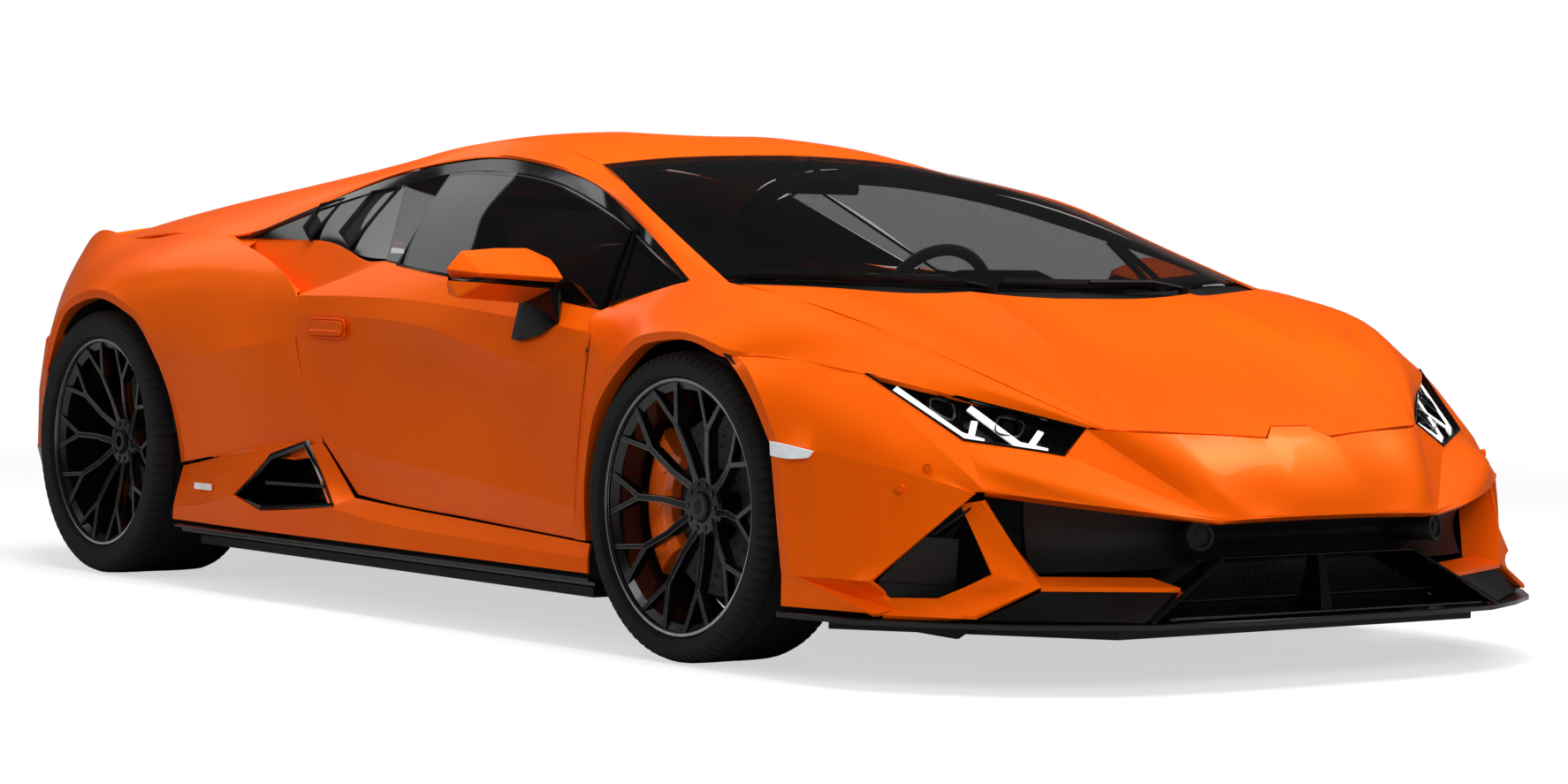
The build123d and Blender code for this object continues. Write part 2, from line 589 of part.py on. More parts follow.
def wheel_solids(tyre_diameter, tyre_width):
    """Tyre and rim of a left-hand wheel, about an axle along Y through the origin, outside at +Y."""
    flange, seat = rim_diameter / 2, rim_diameter / 2 - 17.5
    half, rim_half, r = tyre_width / 2, tyre_width / 2 - 14, tyre_diameter / 2
    gap = tyre_seat_gap
    half_tyre = [(seat + gap, rim_half - 31), (flange + gap, rim_half - 15), (flange + 4, half - 5),
                 (r - tyre_shoulder, half), (r - 7, half - 9), (r, half - tyre_shoulder)]
    tyre = ring(half_tyre + [(a, -b) for a, b in half_tyre[::-1]], 0)
    half_rim = [(flange - rim_wall, rim_half), (flange, rim_half), (flange, rim_half - 14), (seat, rim_half - 30)]
    inner = [(seat - rim_wall, -(rim_half - 20)), (seat - rim_wall, rim_half - 20)]
    rim = ring(half_rim + [(a, -b) for a, b in half_rim[::-1]] + inner, 0)
    disc_back, disc_front = disc_offset - disc_thickness / 2, disc_offset + disc_thickness / 2
    hub = rod((0, disc_back, 0), (0, rim_half - 26, 0), hub_radius)
    disc = rod((0, disc_back, 0), (0, disc_front, 0), disc_diameter / 2)
    arms = []
    root_radius, tip_radius = hub_radius - 28, flange - 13.5
    hub_y, fork_y, rim_y = rim_half - 42, rim_half - 24, rim_half - 14
    for k in range(arm_pairs):
        a = 2 * pi * k / arm_pairs
        fork = (fork_radius * sin(a), fork_y, fork_radius * cos(a))
        arms.append(bar((root_radius * sin(a), hub_y, root_radius * cos(a)), fork, 15, 20))
        for turn in (-fork_angle, fork_angle):
            tip = (tip_radius * sin(a + turn), rim_y, tip_radius * cos(a + turn))
            arms.append(bar(fork, tip, 11, 14))
    wheel = rim.fuse(hub, disc, *arms)
    wheel = wheel.cut(rod((0, disc_back - 43, 0), (0, rim_half - 50, 0), hub_bore_radius))
    return tyre, wheel


def tyre_spaces(axle_x, track, diameter, width, angles):
    """The space that a left-hand tyre needs, with its clearance, at each of the angles it is steered to."""
    half, r = width / 2 + tyre_clearance, diameter / 2 + tyre_clearance
    shoulder = tyre_shoulder - tyre_clearance
    space = ring([(0, -half), (r - shoulder, -half), (r, shoulder - half), (r, half - shoulder),
                  (r - shoulder, half), (0, half)], 0)
    kingpin = Pos(axle_x, track / 2 - kingpin_inset, diameter / 2)
    return [kingpin * Rot(0, 0, angle) * Pos(0, kingpin_inset, 0) * space for angle in angles]


def upright_solids(y_kingpin, spindle_end):
    """Upright, spindle and caliper of a left-hand wheel, about the same axle as wheel_solids()."""
    post = rod((0, y_kingpin, -150), (0, y_kingpin, 165), post_radius)
    spindle = rod((0, y_kingpin, 0), (0, spindle_end, 0), hub_bore_radius - spindle_clearance)
    boss = rod((0, y_kingpin, 0), (0, -52, 0), 52)
    outer = rod((0, -78, 0), (0, 34, 0), 226).cut(rod((0, -90, 0), (0, 40, 0), 130))
    disc_half = disc_thickness / 2 + 6
    slot = rod((0, disc_offset - disc_half, 0), (0, disc_offset + disc_half, 0), disc_diameter / 2 + 6)
    sector = prism([(-60, -130), (-400, -200), (-400, 200), (-60, 130)], -100, 60, "xz")
    caliper = (outer.cut(slot) & sector).solids()[0]
    arm = box((-190, 0), (y_kingpin - 10, -70), (-24, 24))
    return post.fuse(boss, spindle, arm), caliper


def build_wheels():
    rim_half_front = front_tyre_width / 2 - 14
    rim_half_rear = rear_tyre_width / 2 - 14
    for end, x, track, diameter, width, rim_half in (
        ("front", front_axle_x, front_track, front_tyre_diameter, front_tyre_width, rim_half_front),
        ("rear", rear_axle_x, rear_track, rear_tyre_diameter, rear_tyre_width, rim_half_rear),
    ):
        tyre, wheel = wheel_solids(diameter, width)
        at = Pos(x, track / 2, diameter / 2)
        both_nodes(f"{end}_tyre", [at * tyre])
        both_nodes(f"{end}_wheel", [at * wheel])
        upright, caliper = upright_solids(-kingpin_inset, rim_half - 54)
        if end == "rear":
            caliper = caliper.mirror(Plane.YZ)
            upright = upright.mirror(Plane.YZ)
        upright = at * upright.fuse(caliper)
        if end == "front":
            both_nodes("front_upright", [upright])
        else:
            keep("rear_uprights", both_sides(upright))
        top, bottom = diameter / 2 + 120, diameter / 2 - 130
        inner_y = (rail_side if end == "front" else rear_rail_side) + seat_gap
        outer_y = track / 2 - kingpin_inset - post_radius - seat_gap
        arms = []
        for z, spread in ((top, 110), (bottom, 150)):
            outline = [(x - spread, inner_y), (x + spread, inner_y), (x + 16, outer_y), (x - 16, outer_y)]
            arms.append(prism(outline, z - 10, z + 10))
        damper = rod((x + 2, inner_y + 90, bottom + 5), (x + 2, inner_y + 55, top + 60), 21)
        keep(f"{end}_suspension", both_sides(arms[0].fuse(arms[1], damper)))


def build_mirrors():
    door = parts["door_left"].solids()[0]
    head = plate(placed([
        [(690, 880, 855), (690, 1010, 862), (655, 1112, 832)],
        [(700, 880, 790), (700, 1010, 772), (662, 1105, 760)],
    ]), 95, inward=(-1, 0, 0))
    stalk = bar(place(640, 872, 690), place(640, 905, 800), 60, 34).cut(door).solids().sort_by(Axis.Z)[-1]
    both_nodes("mirror", [head.fuse(stalk)])


def fit_panels():
    """Trims each fixed panel to its neighbours and to the space the lids and doors need."""
    doors = [door_space, turned(door_space, -1)]
    steered = [steering_angle * k / 3 for k in range(-3, 4)]
    left_wheel = tyre_spaces(front_axle_x, front_track, front_tyre_diameter, front_tyre_width, steered)
    front_wheels = [turned(space, side) for space in left_wheel for side in (1, -1)]
    left_wheel = tyre_spaces(rear_axle_x, rear_track, rear_tyre_diameter, rear_tyre_width, [0])
    rear_wheels = [turned(space, side) for space in left_wheel for side in (1, -1)]
    trim("front_fenders", hood_space, *doors, *front_wheels)
    pins = [rod((door_hinge.X, door_hinge.Y, z), (door_hinge.X, door_hinge.Y, z + 50), door_pin_radius)
            for z in (250, 310)]
    left, right = parts["front_fenders"].solids().sort_by(Axis.Y)[::-1]
    keep("front_fenders", left.fuse(*pins), right.fuse(*[turned(pin, -1) for pin in pins]))
    trim("roof_rails", parts["front_fenders"], cover_space, parts["windscreen"], parts["roof"], *doors)
    trim("dashboard", *front_wheels)
    trim("rear_fenders", parts["roof_rails"], parts["side_skirts"], cover_space, *doors, *rear_wheels)
    trim("side_vents", parts["roof_rails"], parts["seats"], *doors)
    trim("shoulder_scoops", parts["rear_fenders"], parts["side_vents"], parts["roof_rails"], *doors)
    trim("fixed_windows", parts["roof_rails"], parts["side_vents"], parts["shoulder_scoops"],
         parts["front_fenders"], *doors)
    trim("front_bumper", hood_space, parts["front_fenders"], *front_wheels)
    trim("headlamps", parts["front_bumper"], hood_space, parts["front_fenders"])
    trim("rear_spoiler", parts["rear_fenders"], parts["roof_rails"])
    trim("rear_bumper", parts["rear_fenders"], parts["rear_diffuser"])
    for side in ("left", "right"):
        trim(f"door_window_{side}", parts[f"door_{side}"])
    trim("rear_grille", parts["rear_fenders"], parts["rear_bumper"], parts["rear_spoiler"], parts["tail_lamps"],
         parts["roof_rails"])


def write_parts():
    os.makedirs("parts", exist_ok=True)
    for name, shape in parts.items():
        export_step(shape, f"parts/{name}.step")


build_lids()
build_cowl()
build_roof()
build_glass()
build_sides()
build_nose()
build_tail()
build_structure()
build_steering_wheel()
build_wheels()
build_mirrors()
fit_panels()
write_parts()
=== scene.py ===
from math import copysign, cos, dist, pi, radians, sin, sqrt
import bmesh
import bpy
import numpy as np
from mathutils import Matrix, Vector


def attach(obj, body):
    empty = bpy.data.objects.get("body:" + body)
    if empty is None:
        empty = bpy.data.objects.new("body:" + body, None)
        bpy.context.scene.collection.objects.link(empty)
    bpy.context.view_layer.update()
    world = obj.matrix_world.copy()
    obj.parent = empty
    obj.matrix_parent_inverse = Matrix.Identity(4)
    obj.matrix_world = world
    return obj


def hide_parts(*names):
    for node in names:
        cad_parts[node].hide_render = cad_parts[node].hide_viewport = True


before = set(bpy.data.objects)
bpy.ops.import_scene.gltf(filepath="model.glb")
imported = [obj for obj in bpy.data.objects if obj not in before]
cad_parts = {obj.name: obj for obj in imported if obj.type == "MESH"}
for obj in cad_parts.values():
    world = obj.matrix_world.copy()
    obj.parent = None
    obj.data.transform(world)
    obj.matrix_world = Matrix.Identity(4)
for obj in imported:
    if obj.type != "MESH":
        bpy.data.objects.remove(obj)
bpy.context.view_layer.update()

# All tables below are in millimetres in the car's own frame: X forward, Y to the left, Z up.
mm = 0.001


def splineThrough(knots, values, where):
    # natural cubic spline through the values at the knots
    count = len(knots)
    if count == 2:
        share = ((where - knots[0]) / (knots[1] - knots[0]))[:, None, None]
        return values[0] * (1 - share) + values[1] * share
    step = np.diff(knots)
    system = np.eye(count)
    right = np.zeros_like(values)
    for i in range(1, count - 1):
        system[i, i - 1:i + 2] = step[i - 1], 2 * (step[i - 1] + step[i]), step[i]
        rise = (values[i + 1] - values[i]) / step[i] - (values[i] - values[i - 1]) / step[i - 1]
        right[i] = 6 * rise
    bend = np.linalg.solve(system, right.reshape(count, -1)).reshape(values.shape)
    cell = np.clip(np.searchsorted(knots, where, side="right") - 1, 0, count - 2)
    a = ((knots[cell + 1] - where) / step[cell])[:, None, None]
    b = 1 - a
    size = (step[cell] ** 2)[:, None, None] / 6
    return (a * values[cell] + b * values[cell + 1]
            + ((a ** 3 - a) * bend[cell] + (b ** 3 - b) * bend[cell + 1]) * size)


def refine(points, creases, cellSize):
    # points is rows x columns x 3; splines run down the rows and break at the creased rows
    lengths = np.linalg.norm(np.diff(points, axis=0), axis=2).mean(axis=1)
    knots = np.concatenate([[0], np.cumsum(np.maximum(lengths, 1e-6))])
    stops = sorted({0, len(points) - 1, *creases})
    pieces, marks = [], []
    total = 0
    for start, end in zip(stops[:-1], stops[1:]):
        where = []
        for i in range(start, end):
            cells = max(1, round(lengths[i] / cellSize))
            where += list(np.linspace(knots[i], knots[i + 1], cells, endpoint=False))
        part = splineThrough(knots[start:end + 1], points[start:end + 1], np.array(where))
        pieces.append(part)
        marks.append(total)
        total += len(part)
    pieces.append(points[-1:])
    return np.concatenate(pieces), marks[1:]


def surfaceNet(rows, creaseRows=(), creaseColumns=(), cellSize=14):
    # a smooth dense net through a table of points, its creases kept sharp
    points = np.array(rows, float)
    points, sharpRows = refine(points, creaseRows, cellSize)
    turnedPoints, sharpColumns = refine(points.transpose(1, 0, 2), creaseColumns, cellSize)
    return turnedPoints.transpose(1, 0, 2) * mm, sharpRows, sharpColumns


def netNormals(net):
    along = np.gradient(net, axis=1)
    down = np.gradient(net, axis=0)
    normal = np.cross(down, along)
    return normal / np.maximum(np.linalg.norm(normal, axis=2, keepdims=True), 1e-12)


def pullEdges(net, edges, gap):
    # draws the named edges in along the skin, which leaves a shut line between two panels
    net = net.copy()
    for edge in edges:
        view = {"top": net, "bottom": net[::-1], "front": net.transpose(1, 0, 2),
                "back": net.transpose(1, 0, 2)[::-1]}[edge]
        step = view[1] - view[0]
        size = np.linalg.norm(step, axis=1, keepdims=True)
        view[0] += step / np.maximum(size, 1e-9) * np.minimum(gap, 0.8 * size)
    return net


def makeMesh(name, verts, faces, sharpAngle, sharpEdges):
    mesh = bpy.data.meshes.new(name)
    mesh.from_pydata([tuple(v) for v in verts], [], [tuple(f) for f in faces])
    mesh.update()
    for polygon in mesh.polygons:
        polygon.use_smooth = True
    mesh.set_sharp_from_angle(angle=radians(sharpAngle))
    if sharpEdges:
        wanted = {tuple(sorted(e)) for e in sharpEdges}
        attribute = (mesh.attributes.get("sharp_edge")
                     or mesh.attributes.new("sharp_edge", "BOOLEAN", "EDGE"))
        for edge in mesh.edges:
            if tuple(sorted(edge.vertices)) in wanted:
                attribute.data[edge.index].value = True
    return mesh


# a part is three lists: its points in metres, its faces and its sharp edges
def joinParts(parts):
    verts, faces, sharp = [], [], []
    for partVerts, partFaces, partSharp in parts:
        base = len(verts)
        verts += [tuple(v) for v in partVerts]
        faces += [tuple(i + base for i in f) for f in partFaces]
        sharp += [(a + base, b + base) for a, b in partSharp]
    return verts, faces, sharp


def otherSide(part):
    verts, faces, sharp = part
    return [(x, -y, z) for x, y, z in verts], [tuple(reversed(f)) for f in faces], sharp


def bothSides(part):
    return joinParts([part, otherSide(part)])


# the car's two sides, each with what turns a left-hand part to it
carSides = (("left", lambda part: part), ("right", otherSide))


def skinParts(net, sharpRows, sharpColumns, thickness, inside=None):
    # a closed sheet of the given thickness on a net, grown towards the point inside, in metres
    rows, columns = net.shape[:2]
    normal = netNormals(net)
    middle = net[rows // 2, columns // 2]
    aim = np.array(inside if inside is not None else (middle[0] * 0.6, 0, 0.4))
    sign = np.sign(np.dot(normal[rows // 2, columns // 2], aim - middle)) or 1
    inner = net + normal * sign * thickness
    verts = np.concatenate([net.reshape(-1, 3), inner.reshape(-1, 3)])
    half = rows * columns
    faces = []
    outward = sign < 0
    for i in range(rows - 1):
        for j in range(columns - 1):
            a, b = i * columns + j, i * columns + j + 1
            c, d = b + columns, a + columns
            outer, back = ((a, d, c, b), (a, b, c, d)) if outward else ((a, b, c, d), (a, d, c, b))
            faces += [outer, tuple(k + half for k in back)]
    rim = list(range(columns)) + [i * columns + columns - 1 for i in range(1, rows)]
    rim += [(rows - 1) * columns + j for j in range(columns - 2, -1, -1)]
    rim += [i * columns for i in range(rows - 2, 0, -1)]
    for a, b in zip(rim, rim[1:] + rim[:1]):
        faces.append((a, b, b + half, a + half) if outward else (b, a, a + half, b + half))
    sharp = list(zip(rim, rim[1:] + rim[:1]))
    for i in sharpRows:
        sharp += [(i * columns + j, i * columns + j + 1) for j in range(columns - 1)]
    for j in sharpColumns:
        sharp += [(i * columns + j, (i + 1) * columns + j) for i in range(rows - 1)]
    return [tuple(v) for v in verts], faces, sharp


def sharpMarks(breaks, last, marks, creases):
    # where the creased ones among the breaks came to lie in the dense net
    inner = [i for i in breaks if 0 < i < last]
    return [mark for i, mark in zip(inner, marks) if i in creases]


def sheet(rows, creaseRows=(), creaseColumns=(), thickness=6, cellSize=14, gaps=(), gapWidth=0,
          inside=None, softRows=(), softColumns=()):
    # at soft rows and columns the splines break but the skin stays smooth
    rowBreaks = sorted({*creaseRows, *softRows})
    columnBreaks = sorted({*creaseColumns, *softColumns})
    net, rowMarks, columnMarks = surfaceNet(rows, rowBreaks, columnBreaks, cellSize)
    sharpRows = sharpMarks(rowBreaks, len(rows) - 1, rowMarks, creaseRows)
    sharpColumns = sharpMarks(columnBreaks, len(rows[0]) - 1, columnMarks, creaseColumns)
    net = pullEdges(net, gaps, gapWidth * mm)
    return skinParts(net, sharpRows, sharpColumns, thickness * mm, inside)


def wholeSheet(halfRows, creaseRows=(), softRows=(), **settings):
    # rows drawn from the centre plane out, sheeted together with their mirror images
    other = [[(x, -y, z) for x, y, z in row] for row in halfRows[:0:-1]]
    middle = len(other)
    creases, breaks = ([middle + i for i in group] + [middle - i for i in group]
                       for group in (creaseRows, softRows))
    return sheet(other + [list(row) for row in halfRows], creaseRows=creases, softRows=breaks, **settings)


def smoothPath(points):
    # a path drawn smoothly through a few points
    points = np.array(points, float)[:, None, :]
    lengths = np.linalg.norm(np.diff(points[:, 0], axis=0), axis=1)
    knots = np.concatenate([[0], np.cumsum(lengths)])
    where = np.concatenate([np.linspace(a, b, 6, endpoint=False)
                            for a, b in zip(knots[:-1], knots[1:])])
    return [tuple(p[0]) for p in splineThrough(knots, points, np.append(where, knots[-1]))]


def between(a, b, share):
    return tuple(p + (q - p) * share for p, q in zip(a, b))


def facet(corners, thickness, inside):
    # a flat-sided patch on three or four corners, given in order round it
    a, b, c = corners[:3]
    d = corners[3] if len(corners) > 3 else corners[0]
    return sheet([[a, b], [d, c]], thickness=thickness, cellSize=30, inside=inside)


def squaredRing(count, power):
    # a rounded rectangle as (across, up) shares of its half sizes; the higher the power, the squarer
    ring = []
    for k in range(count):
        c, s = cos(2 * pi * k / count), sin(2 * pi * k / count)
        reach = (abs(c) ** power + abs(s) ** power) ** (-1 / power)
        ring.append((reach * c, reach * s))
    return ring


def addPiece(name, part, material, body="chassis", stands=(), sharpAngle=32, bevel=0):
    verts, faces, sharp = part
    mesh = makeMesh(name, verts, faces, sharpAngle, sharp)
    mesh.materials.append(material)
    piece = bpy.data.objects.new(name, mesh)
    bpy.context.scene.collection.objects.link(piece)
    if bevel:
        rounding = piece.modifiers.new("edgeRounding", "BEVEL")
        rounding.width = bevel * mm
        rounding.segments = 2
        rounding.limit_method = "ANGLE"
        rounding.angle_limit = radians(24)
    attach(piece, body)
    if stands:
        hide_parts(stands)
    return piece


def addToDoors(name, part, material, stands=None, **settings):
    # a piece on each door, drawn for the left one and mirrored for the right
    for side, turn in carSides:
        addPiece(name + side.capitalize(), turn(part), material, f"door_{side}",
                 f"{stands}_{side}" if stands else (), **settings)


def boxPart(low, high):
    (x0, y0, z0), (x1, y1, z1) = low, high
    verts = [(x * mm, y * mm, z * mm) for z in (z0, z1)
             for x, y in ((x0, y0), (x1, y0), (x1, y1), (x0, y1))]
    faces = [(3, 2, 1, 0), (4, 5, 6, 7), (0, 1, 5, 4), (1, 2, 6, 5), (2, 3, 7, 6), (3, 0, 4, 7)]
    return verts, faces, []


def hullPart(points):
    # the convex hull of a few points, for faceted blades and blocks
    work = bmesh.new()
    for point in points:
        work.verts.new([c * mm for c in point])
    result = bmesh.ops.convex_hull(work, input=work.verts)
    loose = {g for g in result["geom_interior"] + result["geom_unused"] if isinstance(g, bmesh.types.BMVert)}
    bmesh.ops.delete(work, geom=list(loose), context="VERTS")
    bmesh.ops.dissolve_limit(work, angle_limit=radians(1), verts=work.verts, edges=work.edges)
    work.verts.index_update()
    verts = [tuple(v.co) for v in work.verts]
    faces = [tuple(v.index for v in f.verts) for f in work.faces]
    work.free()
    return verts, faces, []


def cylinderPart(start, end, radius, sides=32, endRadius=None, bore=0):
    # a round bar or, with a bore, a sleeve between two points in millimetres
    start, end = Vector(start) * mm, Vector(end) * mm
    along = (end - start).normalized()
    side = along.orthogonal().normalized()
    up = along.cross(side)
    loops = [(start, radius), (end, endRadius or radius)]
    if bore:
        loops += [(end, bore), (start, bore)]
    verts, faces = [], []
    for centre, size in loops:
        for k in range(sides):
            turn = 2 * pi * k / sides
            verts.append(tuple(centre + (side * cos(turn) + up * sin(turn)) * size * mm))
    for i in range(len(loops) if bore else 1):
        for k in range(sides):
            a, b = i * sides + k, i * sides + (k + 1) % sides
            nextLoop = ((i + 1) % len(loops)) * sides
            faces.append((a, b, nextLoop + (k + 1) % sides, nextLoop + k))
    if not bore:
        faces.append(tuple(range(sides - 1, -1, -1)))
        faces.append(tuple(range(sides, 2 * sides)))
    return verts, faces, []


def plateOutline(points, thickness, lift=(0, 0, 1)):
    # a flat plate on a closed outline of points in millimetres, grown by thickness along lift
    step = Vector(lift).normalized() * thickness
    count = len(points)
    verts = [tuple((Vector(p) + shift) * mm) for shift in (Vector(), step) for p in points]
    faces = [tuple(range(count - 1, -1, -1)), tuple(range(count, 2 * count))]
    for i in range(count):
        j = (i + 1) % count
        faces.append((i, j, j + count, i + count))
    return verts, faces, []


def tubePart(path, radius, sides=8, squash=1.0, closed=False):
    # a tube along points in millimetres; squash flattens it in height
    points = [Vector(p) * mm for p in path]
    count = len(points)
    verts, faces = [], []
    for i, point in enumerate(points):
        before = points[(i - 1) % count] if closed else points[max(i - 1, 0)]
        after = points[(i + 1) % count] if closed else points[min(i + 1, count - 1)]
        along = (after - before).normalized()
        side = along.cross(Vector((0, 0, 1)))
        side = side.normalized() if side.length > 1e-6 else Vector((0, 1, 0))
        up = side.cross(along)
        for k in range(sides):
            turn = 2 * pi * k / sides
            spot = side * cos(turn) + up * sin(turn) * squash
            verts.append(tuple(point + spot * radius * mm))
    rings = count if closed else count - 1
    for i in range(rings):
        for k in range(sides):
            nextSide, nextRing = (k + 1) % sides, ((i + 1) % count) * sides
            faces.append((i * sides + k, i * sides + nextSide, nextRing + nextSide, nextRing + k))
    if not closed:
        faces.append(tuple(range(sides - 1, -1, -1)))
        faces.append(tuple(range((count - 1) * sides, count * sides)))
    return verts, faces, []


def aboutAxle(centre, radius, turn, y=0.0):
    # a spot at a radius and a turn from straight up, about an axle along Y through centre
    return (centre[0] + radius * sin(turn), centre[1] + y, centre[2] + radius * cos(turn))


def turnedPart(profile, centre, steps=64, sector=None):
    # a closed profile of (radius, offset along Y) turned about an axle, in millimetres;
    # a sector is the first and last turn of a part that doesn't go all the way round
    start, end = sector or (0.0, 2 * pi)
    rings = steps + 1 if sector else steps
    n = len(profile)
    verts = [tuple(c * mm for c in aboutAxle(centre, radius, start + (end - start) * i / steps, y))
             for i in range(rings) for radius, y in profile]
    faces = []
    for i in range(steps):
        nextRing = ((i + 1) % rings) * n
        for k in range(n):
            faces.append((i * n + k, i * n + (k + 1) % n, nextRing + (k + 1) % n, nextRing + k))
    if sector:
        faces += [tuple(range(n)), tuple(range(len(verts) - 1, len(verts) - n - 1, -1))]
    return verts, faces, []


def honeycomb(cell, wire, lowZ, rows, reach, within, seat):
    # hexagonal wires; within says which cells the opening holds, seat puts a (y, z) spot on the grille
    width = cell * sqrt(3) / 2
    parts = []
    for row in range(rows):
        for column in range(-reach, reach + 1):
            y, z = column * width + (row % 2) * width / 2, lowZ + row * cell * 0.75
            if within(y, z):
                spots = [seat(y + cell / 2 * sin(k * pi / 3),
                              z + cell / 2 * cos(k * pi / 3))
                         for k in range(4)]
                parts += [tubePart([a, b], wire, 4) for a, b in zip(spots[:-1], spots[1:])]
    return joinParts(parts)


def linear(hexColour):
    values = [int(hexColour[i:i + 2], 16) / 255 for i in (1, 3, 5)]
    return tuple(v / 12.92 if v <= 0.04045 else ((v + 0.055) / 1.055) ** 2.4 for v in values) + (1.0,)


def addNode(tree, kind, settings=None, links=None):
    # settings name attributes or sockets; links join this node's sockets to (node, output name)
    node = tree.nodes.new(kind)
    for key, value in (settings or {}).items():
        if hasattr(node, key) and key not in node.inputs:
            setattr(node, key, value)
        else:
            node.inputs[key].default_value = value
    for key, (source, output) in (links or {}).items():
        tree.links.new(source.outputs[output], node.inputs[key])
    return node


def newMaterial(name, settings):
    material = bpy.data.materials.new(name)
    material.use_nodes = True
    tree = material.node_tree
    tree.nodes.clear()
    shader = addNode(tree, "ShaderNodeBsdfPrincipled", settings)
    addNode(tree, "ShaderNodeOutputMaterial", links={"Surface": (shader, "BSDF")})
    place = addNode(tree, "ShaderNodeTexCoord")
    return material, tree, shader, place


def addGrain(tree, shader, place, perMetre, strength, depth, detail=2.0, roughness=None):
    # fine noise as bump, its depth in mm, and as a spread of roughness where a (low, high) pair is given
    noise = addNode(tree, "ShaderNodeTexNoise", {"Scale": perMetre, "Detail": detail},
                    {"Vector": (place, "Object")})
    bump = addNode(tree, "ShaderNodeBump", {"Strength": strength, "Distance": depth * mm},
                   {"Height": (noise, "Fac")})
    tree.links.new(bump.outputs["Normal"], shader.inputs["Normal"])
    if roughness:
        spread = addNode(tree, "ShaderNodeMapRange", {"To Min": roughness[0], "To Max": roughness[1]},
                         {"Value": (noise, "Fac")})
        tree.links.new(spread.outputs["Result"], shader.inputs["Roughness"])


def tintBetween(tree, shader, place, colours, perMetre):
    # slow noise between two hex colours
    noise = addNode(tree, "ShaderNodeTexNoise", {"Scale": perMetre, "Detail": 3.0},
                    {"Vector": (place, "Object")})
    ramp = addNode(tree, "ShaderNodeValToRGB", links={"Fac": (noise, "Fac")})
    for element, position, colour in zip(ramp.color_ramp.elements, (0.35, 0.65), colours):
        element.position = position
        element.color = linear(colour)
    tree.links.new(ramp.outputs["Color"], shader.inputs["Base Color"])


def finish(name, colours, roughness, settings, cloudsPerMetre, grainPerMetre, grain, depth):
    # a surface between two close colours, with its own grain (strength, depth in mm) and spread of roughness
    material, tree, shader, place = newMaterial(name, settings)
    tintBetween(tree, shader, place, colours, cloudsPerMetre)
    addGrain(tree, shader, place, grainPerMetre, grain, depth, roughness=roughness)
    return material


print("materials")
paintLook = {
    "colours": ("#F05A03", "#F56205"),  # pearl orange basecoat, the two ends of its slow cloudiness
    "metallic": 0.4,
    "flakePerMetre": 900,  # 1.1 mm clusters: real flake is 0.05 mm, too fine to show
    "flop": (1.0, 0.5, 0.12, 1.0),  # golden tint of the pearl's own reflections
}
# metallic basecoat under clear lacquer: deep colour with a golden flop
paint = finish("sprayedOrangeLacquer", paintLook["colours"], (0.30, 0.38),
               {"Metallic": paintLook["metallic"], "Specular IOR Level": 0.3,
                "Specular Tint": paintLook["flop"],
                "Coat Weight": 0.06, "Coat Roughness": 0.03, "Coat IOR": 1.5},
               2, paintLook["flakePerMetre"], 0.05, 0.3)
# lacquered ABS: near-mirror black with the moulding's faint ripple
pianoBlack = finish("lacqueredBlackAbs", ("#030304", "#050506"), (0.08, 0.14), {"IOR": 1.5},
                    6, 40, 0.02, 0.4)
# unpainted polypropylene with a 1.4 mm grain
mouldedBlack = finish("mouldedBlackPolypropylene", ("#060607", "#0A0A0B"), (0.5, 0.68),
                      {"IOR": 1.48}, 9, 700, 0.18, 0.6)
# fired ceramic band on the glass edge: dense satin black
fritBlack = finish("firedBlackGlassBand", ("#050505", "#090909"), (0.12, 0.22), {"IOR": 1.5},
                   9, 300, 0.03, 0.2)
# cast wheel under black powder coat with a slight orange peel
wheelBlack = finish("powderCoatedBlackAlloy", ("#050506", "#08080A"), (0.16, 0.24),
                    {"IOR": 1.5, "Coat Weight": 0.3}, 10, 160, 0.06, 0.4)
# the same alloy turned bright on the rim's lip
turnedAlloy = finish("turnedAlloy", ("#B8B9BB", "#CACBCD"), (0.22, 0.34), {"Metallic": 1.0}, 30,
                     900, 0.05, 0.2)
# light grey strips along the wheel arms' edges: painted highlights in place of the light that the gloss-black
# edges catch
edgeHighlightPaint = finish("paintedEdgeHighlights", ("#8A8B8D", "#9C9D9F"), (0.28, 0.4),
                     {"Metallic": 0.9}, 30, 900, 0.05, 0.2)
# cured tyre rubber: matt and slightly dusty, with a fine skin
tyreRubber = finish("curedTyreRubber", ("#080808", "#0E0D0D"), (0.7, 0.86), {"IOR": 1.52}, 8, 500,
                    0.2, 0.5)
# carbon-ceramic brake disc, ground: mottled mid grey
groundDisc = finish("groundCarbonCeramic", ("#3A3B3E", "#505256"), (0.45, 0.6),
                    {"Metallic": 0.5}, 180, 900, 0.08, 0.3)
# caliper casting sprayed body orange
caliperPaint = finish("sprayedOrangeCasting", ("#FA640A", "#FF6E12"), (0.24, 0.34),
                      {"Coat Weight": 0.7}, 8, 120, 0.08, 0.5)
# forged and zinc-plated steel under the car
forgedSteel = finish("platedForgedSteel", ("#3A3B3D", "#4C4D50"), (0.38, 0.55),
                     {"Metallic": 0.8}, 20, 300, 0.1, 0.5)
# aluminium castings of the engine and gearbox: grey, grained by the sand mould
castAluminium = finish("sandCastAluminium", ("#5A5B5D", "#727375"), (0.5, 0.66),
                       {"Metallic": 0.7}, 14, 350, 0.25, 0.8)
blackLeather = finish("grainedBlackLeather", ("#0B0B0C", "#121213"), (0.4, 0.55), {"IOR": 1.45},
                      6, 400, 0.25, 0.8)
orangeLeather = finish("grainedOrangeLeather", ("#A83A0A", "#B8440E"), (0.42, 0.58),
                       {"IOR": 1.45}, 6, 400, 0.25, 0.8)
# suede trim with a soft nap
suede = finish("brushedBlackSuede", ("#0E0E0F", "#151516"), (0.85, 0.95), {"Sheen Weight": 0.3},
               10, 600, 0.2, 0.6)
